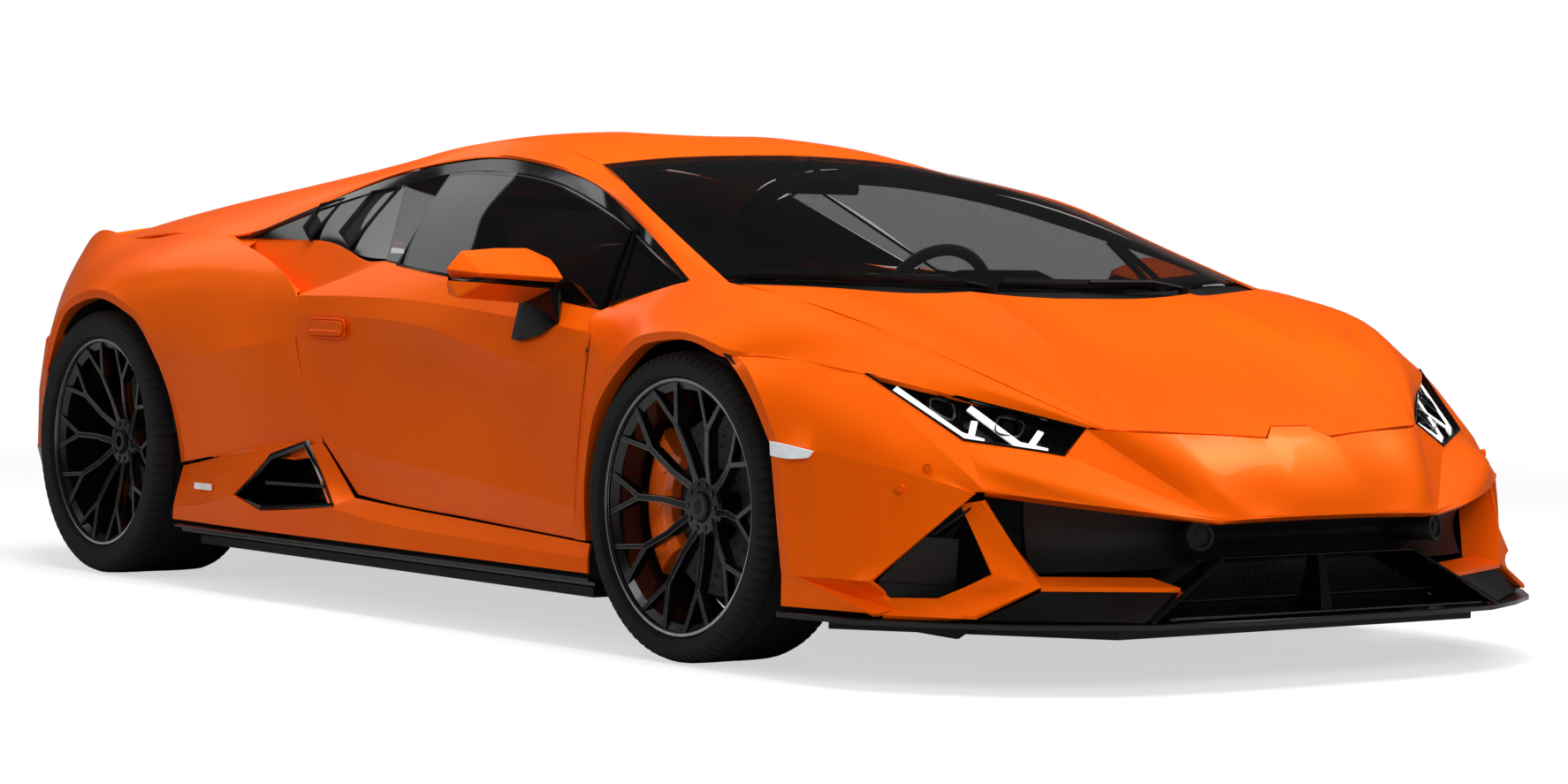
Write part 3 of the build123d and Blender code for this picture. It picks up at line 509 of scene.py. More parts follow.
# polished stainless exhaust tips, lightly heat-tinted
polishedSteel = finish("polishedStainless", ("#8F8C88", "#A6A29C"), (0.1, 0.2),
                       {"Metallic": 1.0}, 10, 500, 0.03, 0.2)
# vacuum-metallised lamp bowl: dark chrome
lampChrome = finish("metallisedLampBowl", ("#3A3C40", "#50545A"), (0.08, 0.16),
                    {"Metallic": 1.0}, 12, 200, 0.02, 0.2)
# frosted acrylic light guide, unlit but given a faint white glow so it reads bright white: painted light
lightGuide = finish("frostedAcrylicGuidePaintedGlow", ("#F2F4F6", "#FFFFFF"), (0.25, 0.35),
                    {"Emission Color": (1, 1, 1, 1), "Emission Strength": 0.35}, 8, 200, 0.02, 0.2)
# clear marker lens over a white reflector
clearMarker = finish("clearMouldedLens", ("#D8DCE0", "#ECEFF2"), (0.08, 0.16),
                     {"Coat Weight": 1.0}, 30, 160, 0.15, 1.0)
# ruby acrylic tail lens with its prisms at 6 mm; its faint red glow is painted light, also on the rear
# reflectors that share it
rubyLens = finish("rubyAcrylicLensPaintedGlow", ("#7A0606", "#A00A08"), (0.06, 0.14),
                  {"Coat Weight": 1.0, "Emission Color": (1, 0.03, 0.02, 1), "Emission Strength": 0.12},
                  30, 160, 0.2, 1.0)
# blank enamelled plates and badges
whiteEnamel = finish("bakedWhiteEnamel", ("#D8D8D6", "#E4E4E2"), (0.2, 0.3), {"Coat Weight": 0.5},
                     20, 200, 0.03, 0.2)


def clearPane(name, tint, cover):
    # thin hard glass: cover is how much of what lies behind it the tint hides
    material, tree, shader, place = newMaterial(name, {
        "Base Color": linear(tint), "Roughness": 0.0, "IOR": 1.5, "Alpha": cover, "Specular IOR Level": 1.0})
    addGrain(tree, shader, place, 2, 0.01, 1.0, 0.0)
    return material


tintedGlass = clearPane("greyLaminatedGlass", "#050607", 0.42)
lampCover = clearPane("clearHardcoatedPolycarbonate", "#060708", 0.06)

print("body panels")
panelLook = {
    "shutLine": 2.5,  # half of the 5 mm gap between two panels
    "edgeRadius": 1.6,  # how far pressed edges and creases are rounded
    "archBand": 28,  # width of the flat flange round each wheel opening
    "archReturn": 34,  # how far that flange turns in under the car's side
}
shutLines = {"gaps": ("top", "bottom", "front", "back"), "gapWidth": panelLook["shutLine"]}


def addSkin(name, part, stands, body="chassis"):
    # a pressed and painted panel with rounded edges
    addPiece(name, part, paint, body, stands, bevel=panelLook["edgeRadius"])


def withArchFlange(rows, archColumns=20):
    # the first row is the edge of a wheel opening: adds its turned-in lip and the flat band round it,
    # both closed up in the columns beyond the opening
    lip, band = [], []
    for i, (p, q) in enumerate(zip(rows[0], rows[1])):
        onArch = i < archColumns
        turnIn = (0, -panelLook["archReturn"], 0) if onArch else (-2, -5, -9)
        lip.append(tuple(c + step for c, step in zip(p, turnIn)))
        x, y, z = between(p, q, min(0.6, (panelLook["archBand"] if onArch else 8) / dist(p, q)))
        band.append((x, p[1] + 3 if onArch else y, z))
    return [lip, rows[0], band] + rows[1:]


# hood: columns run from the windscreen forward, rows from the centre plane out
hoodRows = [
    [(1490, 0, 772), (1650, 0, 714), (1810, 0, 651), (1975, 0, 580), (2104, 0, 520)],
    [(1489, 48, 772), (1649, 50, 714), (1809, 52, 651), (1974, 54, 580), (2104, 50, 520)],
    [(1488, 92, 772), (1647, 96, 714), (1807, 98, 651), (1974, 98, 580), (2133, 88, 499)],
    [(1476, 205, 776), (1628, 215, 719), (1785, 225, 654), (1945, 236, 583), (2102, 242, 507)],
    [(1452, 317, 785), (1600, 335, 745), (1760, 355, 681), (1910, 375, 602), (2068, 395, 514)],
    [(1390, 410, 780), (1550, 415, 728), (1722, 412, 662), (1885, 410, 587), (2060, 408, 513)],
    [(1335, 570, 788), (1500, 550, 749), (1680, 515, 687), (1860, 478, 607), (2050, 420, 514)],
    [(1222, 758, 794), (1400, 742, 766), (1600, 672, 706), (1810, 590, 626), (2035, 440, 514)],
]
# windscreen: columns run from its foot up to the roof
screenRows = [
    [(1425, 0, 799), (1090, 0, 923), (750, 0, 1023), (420, 0, 1097)],
    [(1388, 312, 802), (1065, 286, 919), (735, 252, 1017), (405, 210, 1092)],
    [(1275, 558, 813), (980, 506, 922), (685, 452, 1018), (375, 385, 1081)],
    [(1140, 750, 812), (880, 694, 908), (610, 628, 1004), (340, 520, 1064)],
]
# roof: columns run back from the windscreen
roofRows = [
    [(420, 0, 1097), (190, 0, 1136), (-50, 0, 1153), (-300, 0, 1146), (-560, 0, 1114)],
    [(405, 210, 1092), (180, 205, 1136), (-50, 200, 1156), (-300, 195, 1150), (-560, 192, 1117)],
    [(375, 385, 1081), (170, 375, 1122), (-50, 368, 1143), (-300, 362, 1137), (-560, 358, 1104)],
    [(340, 520, 1064), (150, 503, 1104), (-50, 492, 1124), (-300, 484, 1118), (-560, 480, 1086)],
]
# roof rail and pillar: columns run from the windscreen's foot back to the tail
railRows = [
    [(1190, 764, 797), (905, 700, 899), (620, 632, 1003), (340, 520, 1064), (150, 503, 1104),
     (-50, 492, 1124), (-300, 484, 1118), (-560, 480, 1086), (-950, 492, 1036), (-1154, 505, 1010),
     (-1650, 550, 938), (-2060, 598, 864)],
    [(1140, 784, 800), (905, 733, 886), (660, 676, 968), (400, 598, 1028), (170, 555, 1064),
     (-50, 540, 1086), (-300, 535, 1082), (-560, 580, 1040), (-900, 665, 968), (-1154, 660, 955),
     (-1650, 645, 910), (-2060, 618, 858)],
    [(1094, 800, 800), (900, 752, 862), (700, 690, 922), (430, 628, 991), (190, 580, 1032),
     (-50, 560, 1052), (-290, 555, 1046), (-560, 632, 996), (-930, 755, 890), (-1154, 767, 894),
     (-1650, 717, 879), (-2080, 639, 848)],
]
# share of the way from the middle row to the lower one where body colour ends and the black frame starts
frameShares = (0.94, 0.5, 0.25, 0.1, 0.06, 0.06, 0.16, 0.2, 0.9, 1, 1, 1)
engineCoverRows = [
    [(-566, 0, 1092), (-900, 0, 1042), (-1300, 0, 980), (-1700, 0, 922), (-1980, 0, 892)],
    [(-566, 240, 1085), (-900, 240, 1036), (-1300, 250, 976), (-1700, 265, 920), (-1980, 280, 889)],
    [(-566, 474, 1060), (-950, 486, 1018), (-1300, 512, 970), (-1700, 550, 924), (-1980, 578, 880)],
]
# front fender: columns run over the wheel opening from its foot at the door
frontFenderRows = [
    [(914, 938, 235), (908, 940, 330), (930, 945, 450), (996, 950, 562), (1100, 953, 641),
     (1190, 955, 672), (1280, 955, 679), (1360, 948, 665), (1412, 932, 645), (1462, 912, 650),
     (1557, 862, 643), (1703, 791, 619), (1860, 622, 566), (2006, 467, 518)],
    [(892, 938, 235), (888, 938, 335), (900, 938, 475), (934, 926, 628), (1020, 902, 714),
     (1150, 882, 741), (1285, 866, 743), (1380, 850, 738), (1440, 838, 731), (1502, 818, 720),
     (1605, 768, 695), (1726, 700, 651), (1872, 590, 587), (2019, 455, 519)],
    [(868, 936, 235), (870, 936, 340), (872, 926, 500), (868, 900, 690), (848, 856, 733),
     (1094, 800, 800), (1190, 764, 797), (1320, 753, 780), (1400, 742, 766), (1480, 718, 743),
     (1600, 672, 706), (1750, 614, 650), (1925, 513, 570), (2033, 443, 515)],
]
# door: columns run back from the front shut line, rows run down
doorRows = [
    [(848, 856, 733), (640, 857, 757), (400, 855, 782), (120, 842, 808), (-140, 817, 832)],
    [(868, 898, 684), (690, 899, 699), (400, 892, 722), (0, 890, 744), (-420, 900, 744)],
    [(868, 905, 664), (690, 914, 611), (348, 909, 655), (-38, 904, 695), (-418, 908, 700)],
    [(874, 928, 506), (640, 909, 520), (400, 900, 548), (0, 897, 592), (-376, 914, 575)],
    [(868, 937, 300), (640, 936, 322), (400, 932, 346), (20, 924, 368), (-240, 922, 396)],
    [(868, 928, 232), (640, 922, 240), (400, 916, 250), (130, 914, 260), (-85, 918, 276)],
]
# rear quarter: columns run over the rear wheel opening from the skirt
quarterRows = [
    [(-975, 915, 310), (-975, 930, 400), (-995, 940, 478), (-1035, 950, 556), (-1100, 957, 630),
     (-1200, 963, 690), (-1335, 966, 722), (-1480, 962, 703), (-1610, 950, 630), (-1700, 935, 520)],
    [(-800, 916, 335), (-640, 918, 395), (-690, 930, 480), (-720, 951, 600), (-830, 928, 706),
     (-1060, 910, 806), (-1325, 892, 826), (-1560, 864, 808), (-1880, 802, 735), (-1910, 838, 570)],
    [(-600, 922, 364), (-247, 922, 390), (-339, 917, 520), (-402, 911, 640), (-425, 899, 748),
     (-985, 792, 889), (-1300, 748, 897), (-1650, 714, 883), (-2085, 635, 853), (-2100, 727, 615)],
]
rearCornerRows = [
    [(-1705, 934, 515), (-1905, 838, 565), (-2105, 727, 610), (-2200, 560, 610)],
    [(-1740, 928, 420), (-1915, 848, 440), (-2110, 744, 470), (-2215, 560, 470)],
    [(-1745, 918, 300), (-1920, 842, 300), (-2120, 746, 300), (-2225, 560, 300)],
]
# lip over the rear shoulder, from the door's rear edge to the haunch, and the shelf sunk behind it
scoopLip = [
    [(-432, 899, 747), (-560, 874, 781), (-760, 833, 834), (-985, 791, 889)],
    [(-440, 878, 757), (-566, 850, 788), (-763, 808, 839), (-985, 770, 893)],
    [(-450, 862, 700), (-574, 828, 722), (-769, 784, 776), (-985, 752, 866)],
]
scoopRows = [
    [(-150, 812, 832), (-240, 803, 830), (-421, 768, 862), (-620, 738, 880), (-930, 742, 880)],
    [(-427, 868, 726), (-500, 848, 712), (-610, 818, 732), (-765, 784, 776), (-985, 752, 866)],
]
ventRows = [
    [(-420, 592, 1020), (-600, 640, 985), (-760, 690, 945), (-915, 740, 895)],
    [(-160, 800, 836), (-300, 785, 842), (-560, 742, 872), (-915, 745, 884)],
]

addSkin("hoodSkin", wholeSheet(hoodRows, (4,), (1, 2), inside=(1.6, 0, 0.2), **shutLines), "front_lid",
        "front_lid")
addSkin("roofSkin", wholeSheet(roofRows, (1,), inside=(0, 0, 0.5)), "roof")
addSkin("engineCoverSkin", wholeSheet(engineCoverRows, inside=(-1.3, 0, 0.4), **shutLines), "engine_cover",
        "engine_cover")
frameTop = [between(p, q, s) for p, q, s in zip(railRows[1], railRows[2], frameShares)]
addSkin("roofRailSkins", bothSides(sheet(railRows[:2] + [frameTop], inside=(-0.2, 0, 0.5))), "roof_rails")
frameRows = [[(x, y - 3, z - 2) for x, y, z in frameTop[:9]], [(x, y, z - 2) for x, y, z in railRows[2][:9]]]
addPiece("windowFrames", bothSides(sheet(frameRows, thickness=8, inside=(-0.2, 0, 0.5))), pianoBlack, bevel=1)
fender = sheet(withArchFlange(frontFenderRows, 9), creaseRows=(1, 2), inside=(1.2, 0.5, 0.3))
addSkin("frontFenderSkins", bothSides(fender), "front_fenders")
door = sheet(doorRows, creaseRows=(1, 2, 4), inside=(0.2, 0.4, 0.5), **shutLines)
addToDoors("doorSkin", door, paint, "door", bevel=panelLook["edgeRadius"])
quarter = sheet(withArchFlange(quarterRows), creaseRows=(1, 2), creaseColumns=(3,), inside=(-1.2, 0.4, 0.4))
addSkin("rearFenderSkins", bothSides(quarter), "rear_fenders")
addSkin("rearCornerSkins", bothSides(sheet(rearCornerRows, creaseRows=(1,), inside=(-1.5, 0.3, 0.4))),
        "rear_bumper")
scoop = joinParts([
    sheet(scoopRows, inside=(-0.5, 0.3, 0.5)),
    sheet(scoopLip, creaseRows=(1,), inside=(-0.7, 0.8, 0.7)),
    facet([(-900, 742, 880), (-1010, 742, 884), (-1010, 800, 870), (-900, 800, 844)], 5, (-0.95, 0.5, 0.7))])
addSkin("shoulderScoopSkins", bothSides(scoop), "shoulder_scoops")
addPiece("sideVentSkins", bothSides(sheet(ventRows, inside=(-0.6, 0.3, 0.7))), pianoBlack,
         "chassis", "side_vents")


print("door handles")
handleLook = {
    "middle": (-248, 914, 668),
    "length": 168,
    "height": 46,
}


def doorHandle():
    # a flush paddle in a rounded recess, standing 3 mm proud with a finger lip along its foot
    x, y, z = handleLook["middle"]
    half, high = handleLook["length"] / 2, handleLook["height"] / 2
    ring = [(x + half * across, y - 1, z + high * up) for across, up in squaredRing(32, 6)]
    recess = tubePart(ring, 2.2, 6, closed=True)
    inner = [(x + (ringX - x) * 0.9, y - 4, z + (ringZ - z) * 0.78) for ringX, _, ringZ in ring]
    paddle = plateOutline(inner, 8, (0, 1, 0))
    lip = hullPart([(x + side * half * 0.86, y + proud, z - high * drop)
                    for proud, drop in ((2, 0.5), (8, 0.32), (2, 0.1)) for side in (-1, 1)])
    return joinParts([recess, paddle, lip])


addToDoors("doorHandle", doorHandle(), paint, bevel=0.8)

print("front bumper")
noseLook = {
    "skin": 7,  # thickness of the bumper's skin
    "duct": 5,  # thickness of the grille's walls
    "meshCell": 26,  # width of a honeycomb cell in the lower grille
    "meshWire": 3.2,
    "bladeLow": 130,  # lower and upper face of the splitter's blade
    "bladeHigh": 142,
}
skin, duct = noseLook["skin"], noseLook["duct"]
# corners of the left half, named for where they sit
hoodSide = (2072, 397, 511)
lampTail, lampFoot, lampToe, lampTop = (1703, 791, 619), (1911, 705, 494), (2023, 537, 466), (2006, 467, 516)
lipCentre, lipCorner, noseCorner = (2250, 0, 346), (2238, 302, 341), (2006, 725, 397)
ridgeMiddle = (1860, 768, 506)
markerFront = (1695, 925, 470)
bladeOuterTop, bladeRidgeTop = (1948, 742, 369), (1996, 721, 379)
bladeOuterFoot, bladeRidgeFoot = (2040, 731, 234), (2092, 650, 212)
railTip, railBend, railFoot, railEnd = (2046, 778, 156), (1940, 788, 184), (1868, 851, 182), (1880, 846, 160)
railBack, railLow = (1642, 952, 152), (1866, 893, 152)
intakeCorner, wingletTail = (1858, 897, 215), (1684, 950, 216)
shelfEnd, shelfBackEnd, shelfBackStart = (2200, 381, 208), (2132, 398, 224), (2046, 622, 228)
noseInside = (1.5, 0.3, 0.3)


def noseFacets():
    centre = wholeSheet([
        [(2106, 0, 519), (2150, 0, 486), (2200, 0, 432), (2235, 0, 380), lipCentre],
        [(2106, 52, 519), (2150, 50, 486), (2200, 50, 432), (2235, 50, 380), (2250, 50, 346)],
        [(2136, 90, 496), (2163, 90, 472), (2202, 92, 428), (2234, 94, 379), (2249, 95, 346)],
        [(2105, 242, 505), (2148, 238, 471), (2191, 225, 424), (2226, 212, 372), (2246, 205, 344)],
        [hoodSide, (2122, 366, 474), (2170, 335, 430), (2212, 298, 384), (2243, 262, 342)],
        [between(lampTop, lipCorner, k / 4) for k in range(5)],
    ], softRows=(1, 2), inside=(1.6, 0, 0.2), thickness=skin)
    brow = facet([lampTop, lampToe, lipCorner], skin, noseInside)
    front = sheet([[lampFoot, between(lampFoot, lampToe, 0.5), lampToe],
                   [between(lampFoot, noseCorner, 0.5), (2040, 655, 434), between(lampToe, lipCorner, 0.5)],
                   [noseCorner, (2140, 545, 371), lipCorner]], thickness=skin, inside=noseInside)
    wedge = facet([lampFoot, noseCorner, ridgeMiddle], skin, noseInside)
    strip = facet([lampTail, lampFoot, ridgeMiddle], skin, noseInside)
    lip = sheet([[lipCentre, (2248, 150, 345), lipCorner],
                 [(2226, 0, 336), (2224, 150, 335), (2213, 296, 331)]], thickness=6, inside=(2.2, 0, 0.5))
    sideLip = sheet([[lipCorner, (2140, 545, 371), noseCorner],
                     [(2213, 296, 331), (2112, 534, 360), (1980, 708, 386)]],
                    thickness=6, inside=(2, 0.4, 0.6))
    return [centre] + [bothSides(p) for p in (brow, front, wedge, strip, lip, sideLip)]


def cheekFacets():
    # rows run down from the ridge beside the lamp, columns run back to the wheel opening
    rows = [
        [noseCorner, ridgeMiddle, lampTail, (1557, 864, 643), (1448, 926, 648), (1415, 932, 646)],
        [between(noseCorner, (1960, 752, 392), 0.5), (1852, 812, 474), (1704, 872, 552), (1580, 912, 585),
         (1520, 942, 606), (1500, 943, 586)],
        [(1990, 738, 394), (1852, 838, 437), markerFront, (1656, 934, 474), (1617, 948, 478),
         (1588, 945, 474)],
        [(1932, 812, 312), (1830, 878, 332), (1720, 926, 337), (1674, 938, 339), (1641, 950, 342),
         (1613, 947, 340)],
        [intakeCorner, (1806, 912, 216), (1752, 932, 216), (1706, 944, 216), (1668, 953, 216),
         (1640, 951, 216)],
    ]
    for row in rows:
        x, y, z = row[-1]
        row.append((x + 3, y - panelLook["archReturn"], z))
    cheek = sheet(rows, creaseRows=(2,), creaseColumns=(4, 5), softColumns=(1, 2), inside=(1.5, 0.4, 0.3),
                  thickness=skin)
    return [bothSides(cheek)]


def lowerFacets():
    parts = [facet(corners, skin, noseInside) for corners in (
        [(1642, 952, 216), wingletTail, railLow, railBack],
        [wingletTail, intakeCorner, railFoot, railEnd],
        [wingletTail, railEnd, (1872, 884, 152), railLow],
        [railFoot, railBend, railTip, railEnd],
        [railBend, bladeOuterFoot, bladeRidgeFoot, railTip],
        [railEnd, railTip, (2046, 776, 150), (1880, 880, 150)],
    )]
    ridge = between(bladeRidgeTop, bladeRidgeFoot, 0.5)
    parts += [
        facet([bladeRidgeFoot, shelfEnd, shelfBackEnd, shelfBackStart], skin, (2.1, 0.5, 0.1)),
        facet([bladeRidgeFoot, shelfEnd, (2200, 381, 199), (2090, 650, 203)], skin, noseInside),
        facet([bladeRidgeFoot, railTip, (2038, 762, 152), (2070, 640, 203)], 6, (1.9, 0.4, 0.2)),
        sheet([[bladeOuterTop, bladeRidgeTop],
               [between(bladeOuterTop, bladeOuterFoot, 0.5), (ridge[0] + 4, ridge[1] + 4, ridge[2])],
               [bladeOuterFoot, bladeRidgeFoot]], thickness=skin, inside=noseInside),
        facet([bladeRidgeTop, bladeRidgeFoot, (2028, 600, 224), (1930, 680, 372)], skin, (1.9, 0.9, 0.3)),
    ]
    return [bothSides(p) for p in parts]


addSkin("frontBumperSkin", joinParts(noseFacets() + cheekFacets() + lowerFacets()), "front_bumper")


def intakeInserts():
    # black ducts and facets that stand inside the two outer and the one middle opening
    faces = [
        facet([(1840, 860, 225), (1985, 720, 372), (1920, 690, 350), (1800, 780, 225)], 6, (1.6, 0.5, 0.3)),
        facet([(1852, 872, 214), (1916, 815, 306), (1948, 742, 300), (1930, 735, 205)], 6, (1.7, 0.4, 0.4)),
        facet([(1852, 872, 214), (1930, 735, 205), (1925, 760, 178), (1862, 856, 178)], 6, (1.7, 0.4, 0.4)),
        facet([(1880, 640, 395), (2020, 610, 215), (1960, 640, 160), (1800, 720, 160)], 6, (1.6, 0.5, 0.3)),
        sheet([[(2020, 640, 380), (2100, 480, 356), (2150, 300, 336)],
               [(1990, 610, 300), (2080, 440, 290), (2120, 290, 292)],
               [(2010, 610, 232), (2105, 430, 238), (2160, 300, 250)]], thickness=5, inside=(1.8, 0.4, 0.3)),
        facet([(2034, 655, 150), (2226, 480, 150), (2140, 400, 220), (2010, 610, 222)], 5, (1.8, 0.4, 0.2)),
        facet([(2036, 764, 146), (2088, 644, 203), (2196, 386, 200), (2222, 494, 146)], 5, (1.8, 0.4, 0.2)),
    ]
    backing = wholeSheet([[(2090, 0, 145), (2086, 0, 205), (2090, 0, 262)],
                          [(2088, 440, 145), (2084, 420, 205), (2080, 400, 262)]], inside=(1.8, 0, 0.2))
    middle = wholeSheet([[(2170, 0, 334), (2120, 0, 300), (2160, 0, 262)],
                         [(2165, 290, 330), (2112, 290, 300), (2150, 300, 262)]], inside=(1.8, 0, 0.3))
    return joinParts([bothSides(joinParts(faces)), middle, backing])


addPiece("frontDucts", intakeInserts(), mouldedBlack, "chassis", "front_grille", bevel=1)


def lowerGrilleFrame():
    # the trapezoid frame, its inner walls, the middle strut and the bar across
    top, foot = (2203, 266, 264), (2238, 486, 146)
    topRight, footRight = (2203, -266, 264), (2238, -486, 146)
    innerTop, innerFoot = (2110, 240, 244), (2120, 430, 148)
    bars = [tubePart([a, b], 5, 4) for a, b in ((top, foot), (topRight, top), (footRight, topRight))]
    roofWall = facet([top, topRight, (2110, -240, 244), innerTop], duct, (2.1, 0, 0.5))
    sideWall = facet([top, foot, innerFoot, innerTop], duct, (2.15, 0.6, 0.2))
    floorWall = facet([(2236, 440, 152), (2236, -440, 152), (2120, -430, 158), (2120, 430, 158)], duct,
                      (2.2, 0, 0))
    strut = hullPart([(x, side * half, z) for side in (-1, 1)
                      for x, half, z in ((2226, 14, 150), (2206, 10, 262), (2150, 14, 152), (2176, 8, 262))])
    crossBar = tubePart([(2172, -400, 178), (2180, 0, 180), (2172, 400, 178)], 6, 6)
    return joinParts(bars + [roofWall, bothSides(sideWall), floorWall, strut, crossBar])


addPiece("lowerGrilleFrame", lowerGrilleFrame(), pianoBlack, bevel=1)


def lowerMesh():
    # the opening narrows towards its top
    halfWidth, low, high = 400, 168, 236
    cell = noseLook["meshCell"]
    return honeycomb(cell, noseLook["meshWire"] / 2, low, int((high - low) / (cell * 0.75)) + 1, 18,
                     lambda y, z: abs(y) <= halfWidth * (1 - 0.42 * (z - low) / (high - low)),
                     lambda y, z: (2122, y, z))


addPiece("lowerGrilleMesh", lowerMesh(), mouldedBlack)


def sensorPods():
    bodyTube = cylinderPart((2110, 300, 300), (2196, 330, 309), 27, 28)
    ring = cylinderPart((2190, 328, 308), (2203, 332.5, 309.6), 30, 28, bore=22)
    lens = cylinderPart((2192, 329, 308.4), (2199, 331, 309.2), 22, 28)
    button = cylinderPart((2199, 331, 309.2), (2202, 332, 309.5), 9, 20)
    return bothSides(joinParts([bodyTube, ring, lens, button]))


addPiece("sensorPods", sensorPods(), mouldedBlack, bevel=0.8)


def splitterBlade():
    half = [(1640, 964), (1850, 926), (1985, 838), (2092, 742), (2168, 620), (2232, 480), (2256, 240),
            (2260, 0)]
    outline = half + [(x, -y) for x, y in half[-2::-1]] + [(1640, -560), (1640, 560)]
    low, high = noseLook["bladeLow"], noseLook["bladeHigh"]
    return plateOutline([(x, y, low) for x, y in outline], high - low)


addPiece("splitterBlade", splitterBlade(), fritBlack, "chassis", "front_splitter", bevel=2)


def splitterFins():
    fins = [hullPart([(x, side, z) for side in (y, y + 8)
                      for x, z in ((1700, 128), (1960, 128), (1900, 96), (1730, 100))])
            for y in (560, 700)]
    return bothSides(joinParts(fins))


addPiece("splitterFins", splitterFins(), mouldedBlack)

print("lamps")
lampLook = {
    "lowerBend": 1 / 2.2,  # share of the lamp's length at which its lower edge bends
    "housingDepth": 34,
    "guideWidth": 15,
    "guideThickness": 6,
    "projectorRadius": 27,
}


def lampPoint(u, v, depth=0):
    # u runs from the lamp's tail to its front, v from its upper to its lower edge
    bend = lampLook["lowerBend"]
    upper = between(lampTail, lampTop, u)
    lower = (between(lampTail, lampFoot, u / bend) if u < bend
             else between(lampFoot, lampToe, (u - bend) / (1 - bend)))
    x, y, z = between(upper, lower, v)
    return (x - depth * 0.62, y - depth * 0.55, z - depth * 0.56)


def headlampShell():
    rim = [lampTail, between(lampTail, lampTop, 0.5), lampTop, lampToe, lampFoot]
    floor = sheet([[lampPoint(u, v, lampLook["housingDepth"]) for u in (0.02, 0.3, 0.5, 0.75, 1)]
                   for v in (0, 0.5, 1)], thickness=4, inside=(1.6, 0.4, 0.3))
    deep = [(x - 21, y - 19, z - 19) for x, y, z in rim]
    wall = [facet([a, b, deepB, deepA], 3, (1.9, 0.64, 0.5))
            for a, b, deepA, deepB in zip(rim, rim[1:] + rim[:1], deep, deep[1:] + deep[:1])]
    edge = tubePart(rim, 4, 6, closed=True)
    return bothSides(joinParts([floor, *wall, edge]))


addPiece("headlampHousings", headlampShell(), pianoBlack, "chassis", "headlamps")


def guideBar(points, width):
    # a flat light guide along a path in the lamp
    path = [Vector(lampPoint(*point)) for point in points]
    parts = []
    for p, q in zip(path[:-1], path[1:]):
        across = (q - p).normalized().cross(Vector((0.62, 0.55, 0.56))).normalized() * width / 2
        parts.append(plateOutline([p - across, p + across, q + across, q - across],
                                  lampLook["guideThickness"], (-0.62, -0.55, -0.56)))
    return joinParts(parts)


def lampGuides():
    width = lampLook["guideWidth"]
    bars = [
        guideBar([(0.13, 0.42, 8), (0.44, 0.88, 8), (0.56, 0.92, 8)], width),
        guideBar([(0.47, 0.14, 8), (0.74, 0.84, 8), (0.9, 0.9, 8)], width),
        guideBar([(0.5, 0.4, 14), (0.49, 0.84, 10)], width * 0.9),
        guideBar([(0.815, 0.28, 14), (0.8, 0.84, 10)], width * 0.9),
    ]
    return bothSides(joinParts(bars))


addPiece("daylightGuides", lampGuides(), lightGuide, bevel=1)


def projectorUnits():
    # a sleeve round a domed lens of three steps
    radius = lampLook["projectorRadius"]
    units = []
    for u, v in ((0.33, 0.4), (0.66, 0.36)):
        units.append(cylinderPart(lampPoint(u, v, 30), lampPoint(u, v, 10), radius, 28, bore=radius - 4))
        units += [cylinderPart(lampPoint(u, v, 30 - 5 * k), lampPoint(u, v, 25 - 5 * k), 22 - 3 * k, 24,
                               19 - 3 * k)
                  for k in range(3)]
    return bothSides(joinParts(units))


addPiece("projectorUnits", projectorUnits(), lampChrome)


def projectorRing(u, v, wide, tall):
    # the rounded frame round a projector
    ring = [lampPoint(u + wide * across, v + tall * up, 9) for across, up in squaredRing(24, 4)]
    return bothSides(tubePart(ring, 2.4, 6, closed=True))


addPiece("projectorRings",
         joinParts([projectorRing(0.35, 0.4, 0.055, 0.24), projectorRing(0.67, 0.4, 0.065, 0.24)]),
         turnedAlloy)


def lampGlasses():
    rows = [[lampPoint(u, v, -1) for u in (0.0, 0.25, 0.46, 0.75, 1)] for v in (0, 0.5, 1)]
    return bothSides(sheet(rows, thickness=3, inside=(1.6, 0.4, 0.3)))


addPiece("headlampCovers", lampGlasses(), lampCover)

marker = sheet([[(1592, 950, 482), (1650, 945, 476), (1712, 930, 466)],
                [(1596, 951, 452), (1650, 946, 448), (1700, 933, 452)]], thickness=5, inside=(1.5, 0.5, 0.45))
addPiece("sideMarkers", bothSides(marker), clearMarker, bevel=1)


def parkingSensors():
    # each spot with the way it faces
    spots = (((1905, 792, 440), (0.55, 0.8, 0.1)), ((1878, 838, 398), (0.5, 0.86, -0.1)),
             ((-930, 921, 455), (0, 1, 0)))
    parts = []
    for place, facing in spots:
        out = Vector(facing).normalized()
        start = Vector(place) - out * 6
        parts.append(cylinderPart(start, start + out * 8, 9, 20, bore=7))
        parts.append(cylinderPart(start, start + out * 6.5, 6.4, 20))
    return bothSides(joinParts(parts))


addPiece("parkingSensors", parkingSensors(), paint)

print("glass and its frames")
doorGlassRows = [
    [(740, 707, 907), (400, 618, 996), (50, 567, 1047), (-270, 556, 1046)],
    [(790, 785, 825), (400, 745, 893), (75, 712, 930), (-165, 695, 942)],
    [(832, 850, 726), (400, 850, 774), (120, 838, 800), (-60, 822, 817)],
]
frontQuarterGlass = [[(760, 713, 898), (930, 757, 850), (1086, 799, 802)],
                     [(866, 845, 748), (965, 826, 772), (1060, 808, 795)]]
rearQuarterGlass = [[(-280, 556, 1046), (-420, 592, 1024)], [(-75, 821, 829), (-145, 812, 833)]]
glassLook = {
    "frameRadius": 6,  # black mouldings along the edges of the side windows
    "sideBand": 42,  # widths of the fired band at the windscreen's sides, foot and head
    "footBand": 60,
    "headBand": 36,
}

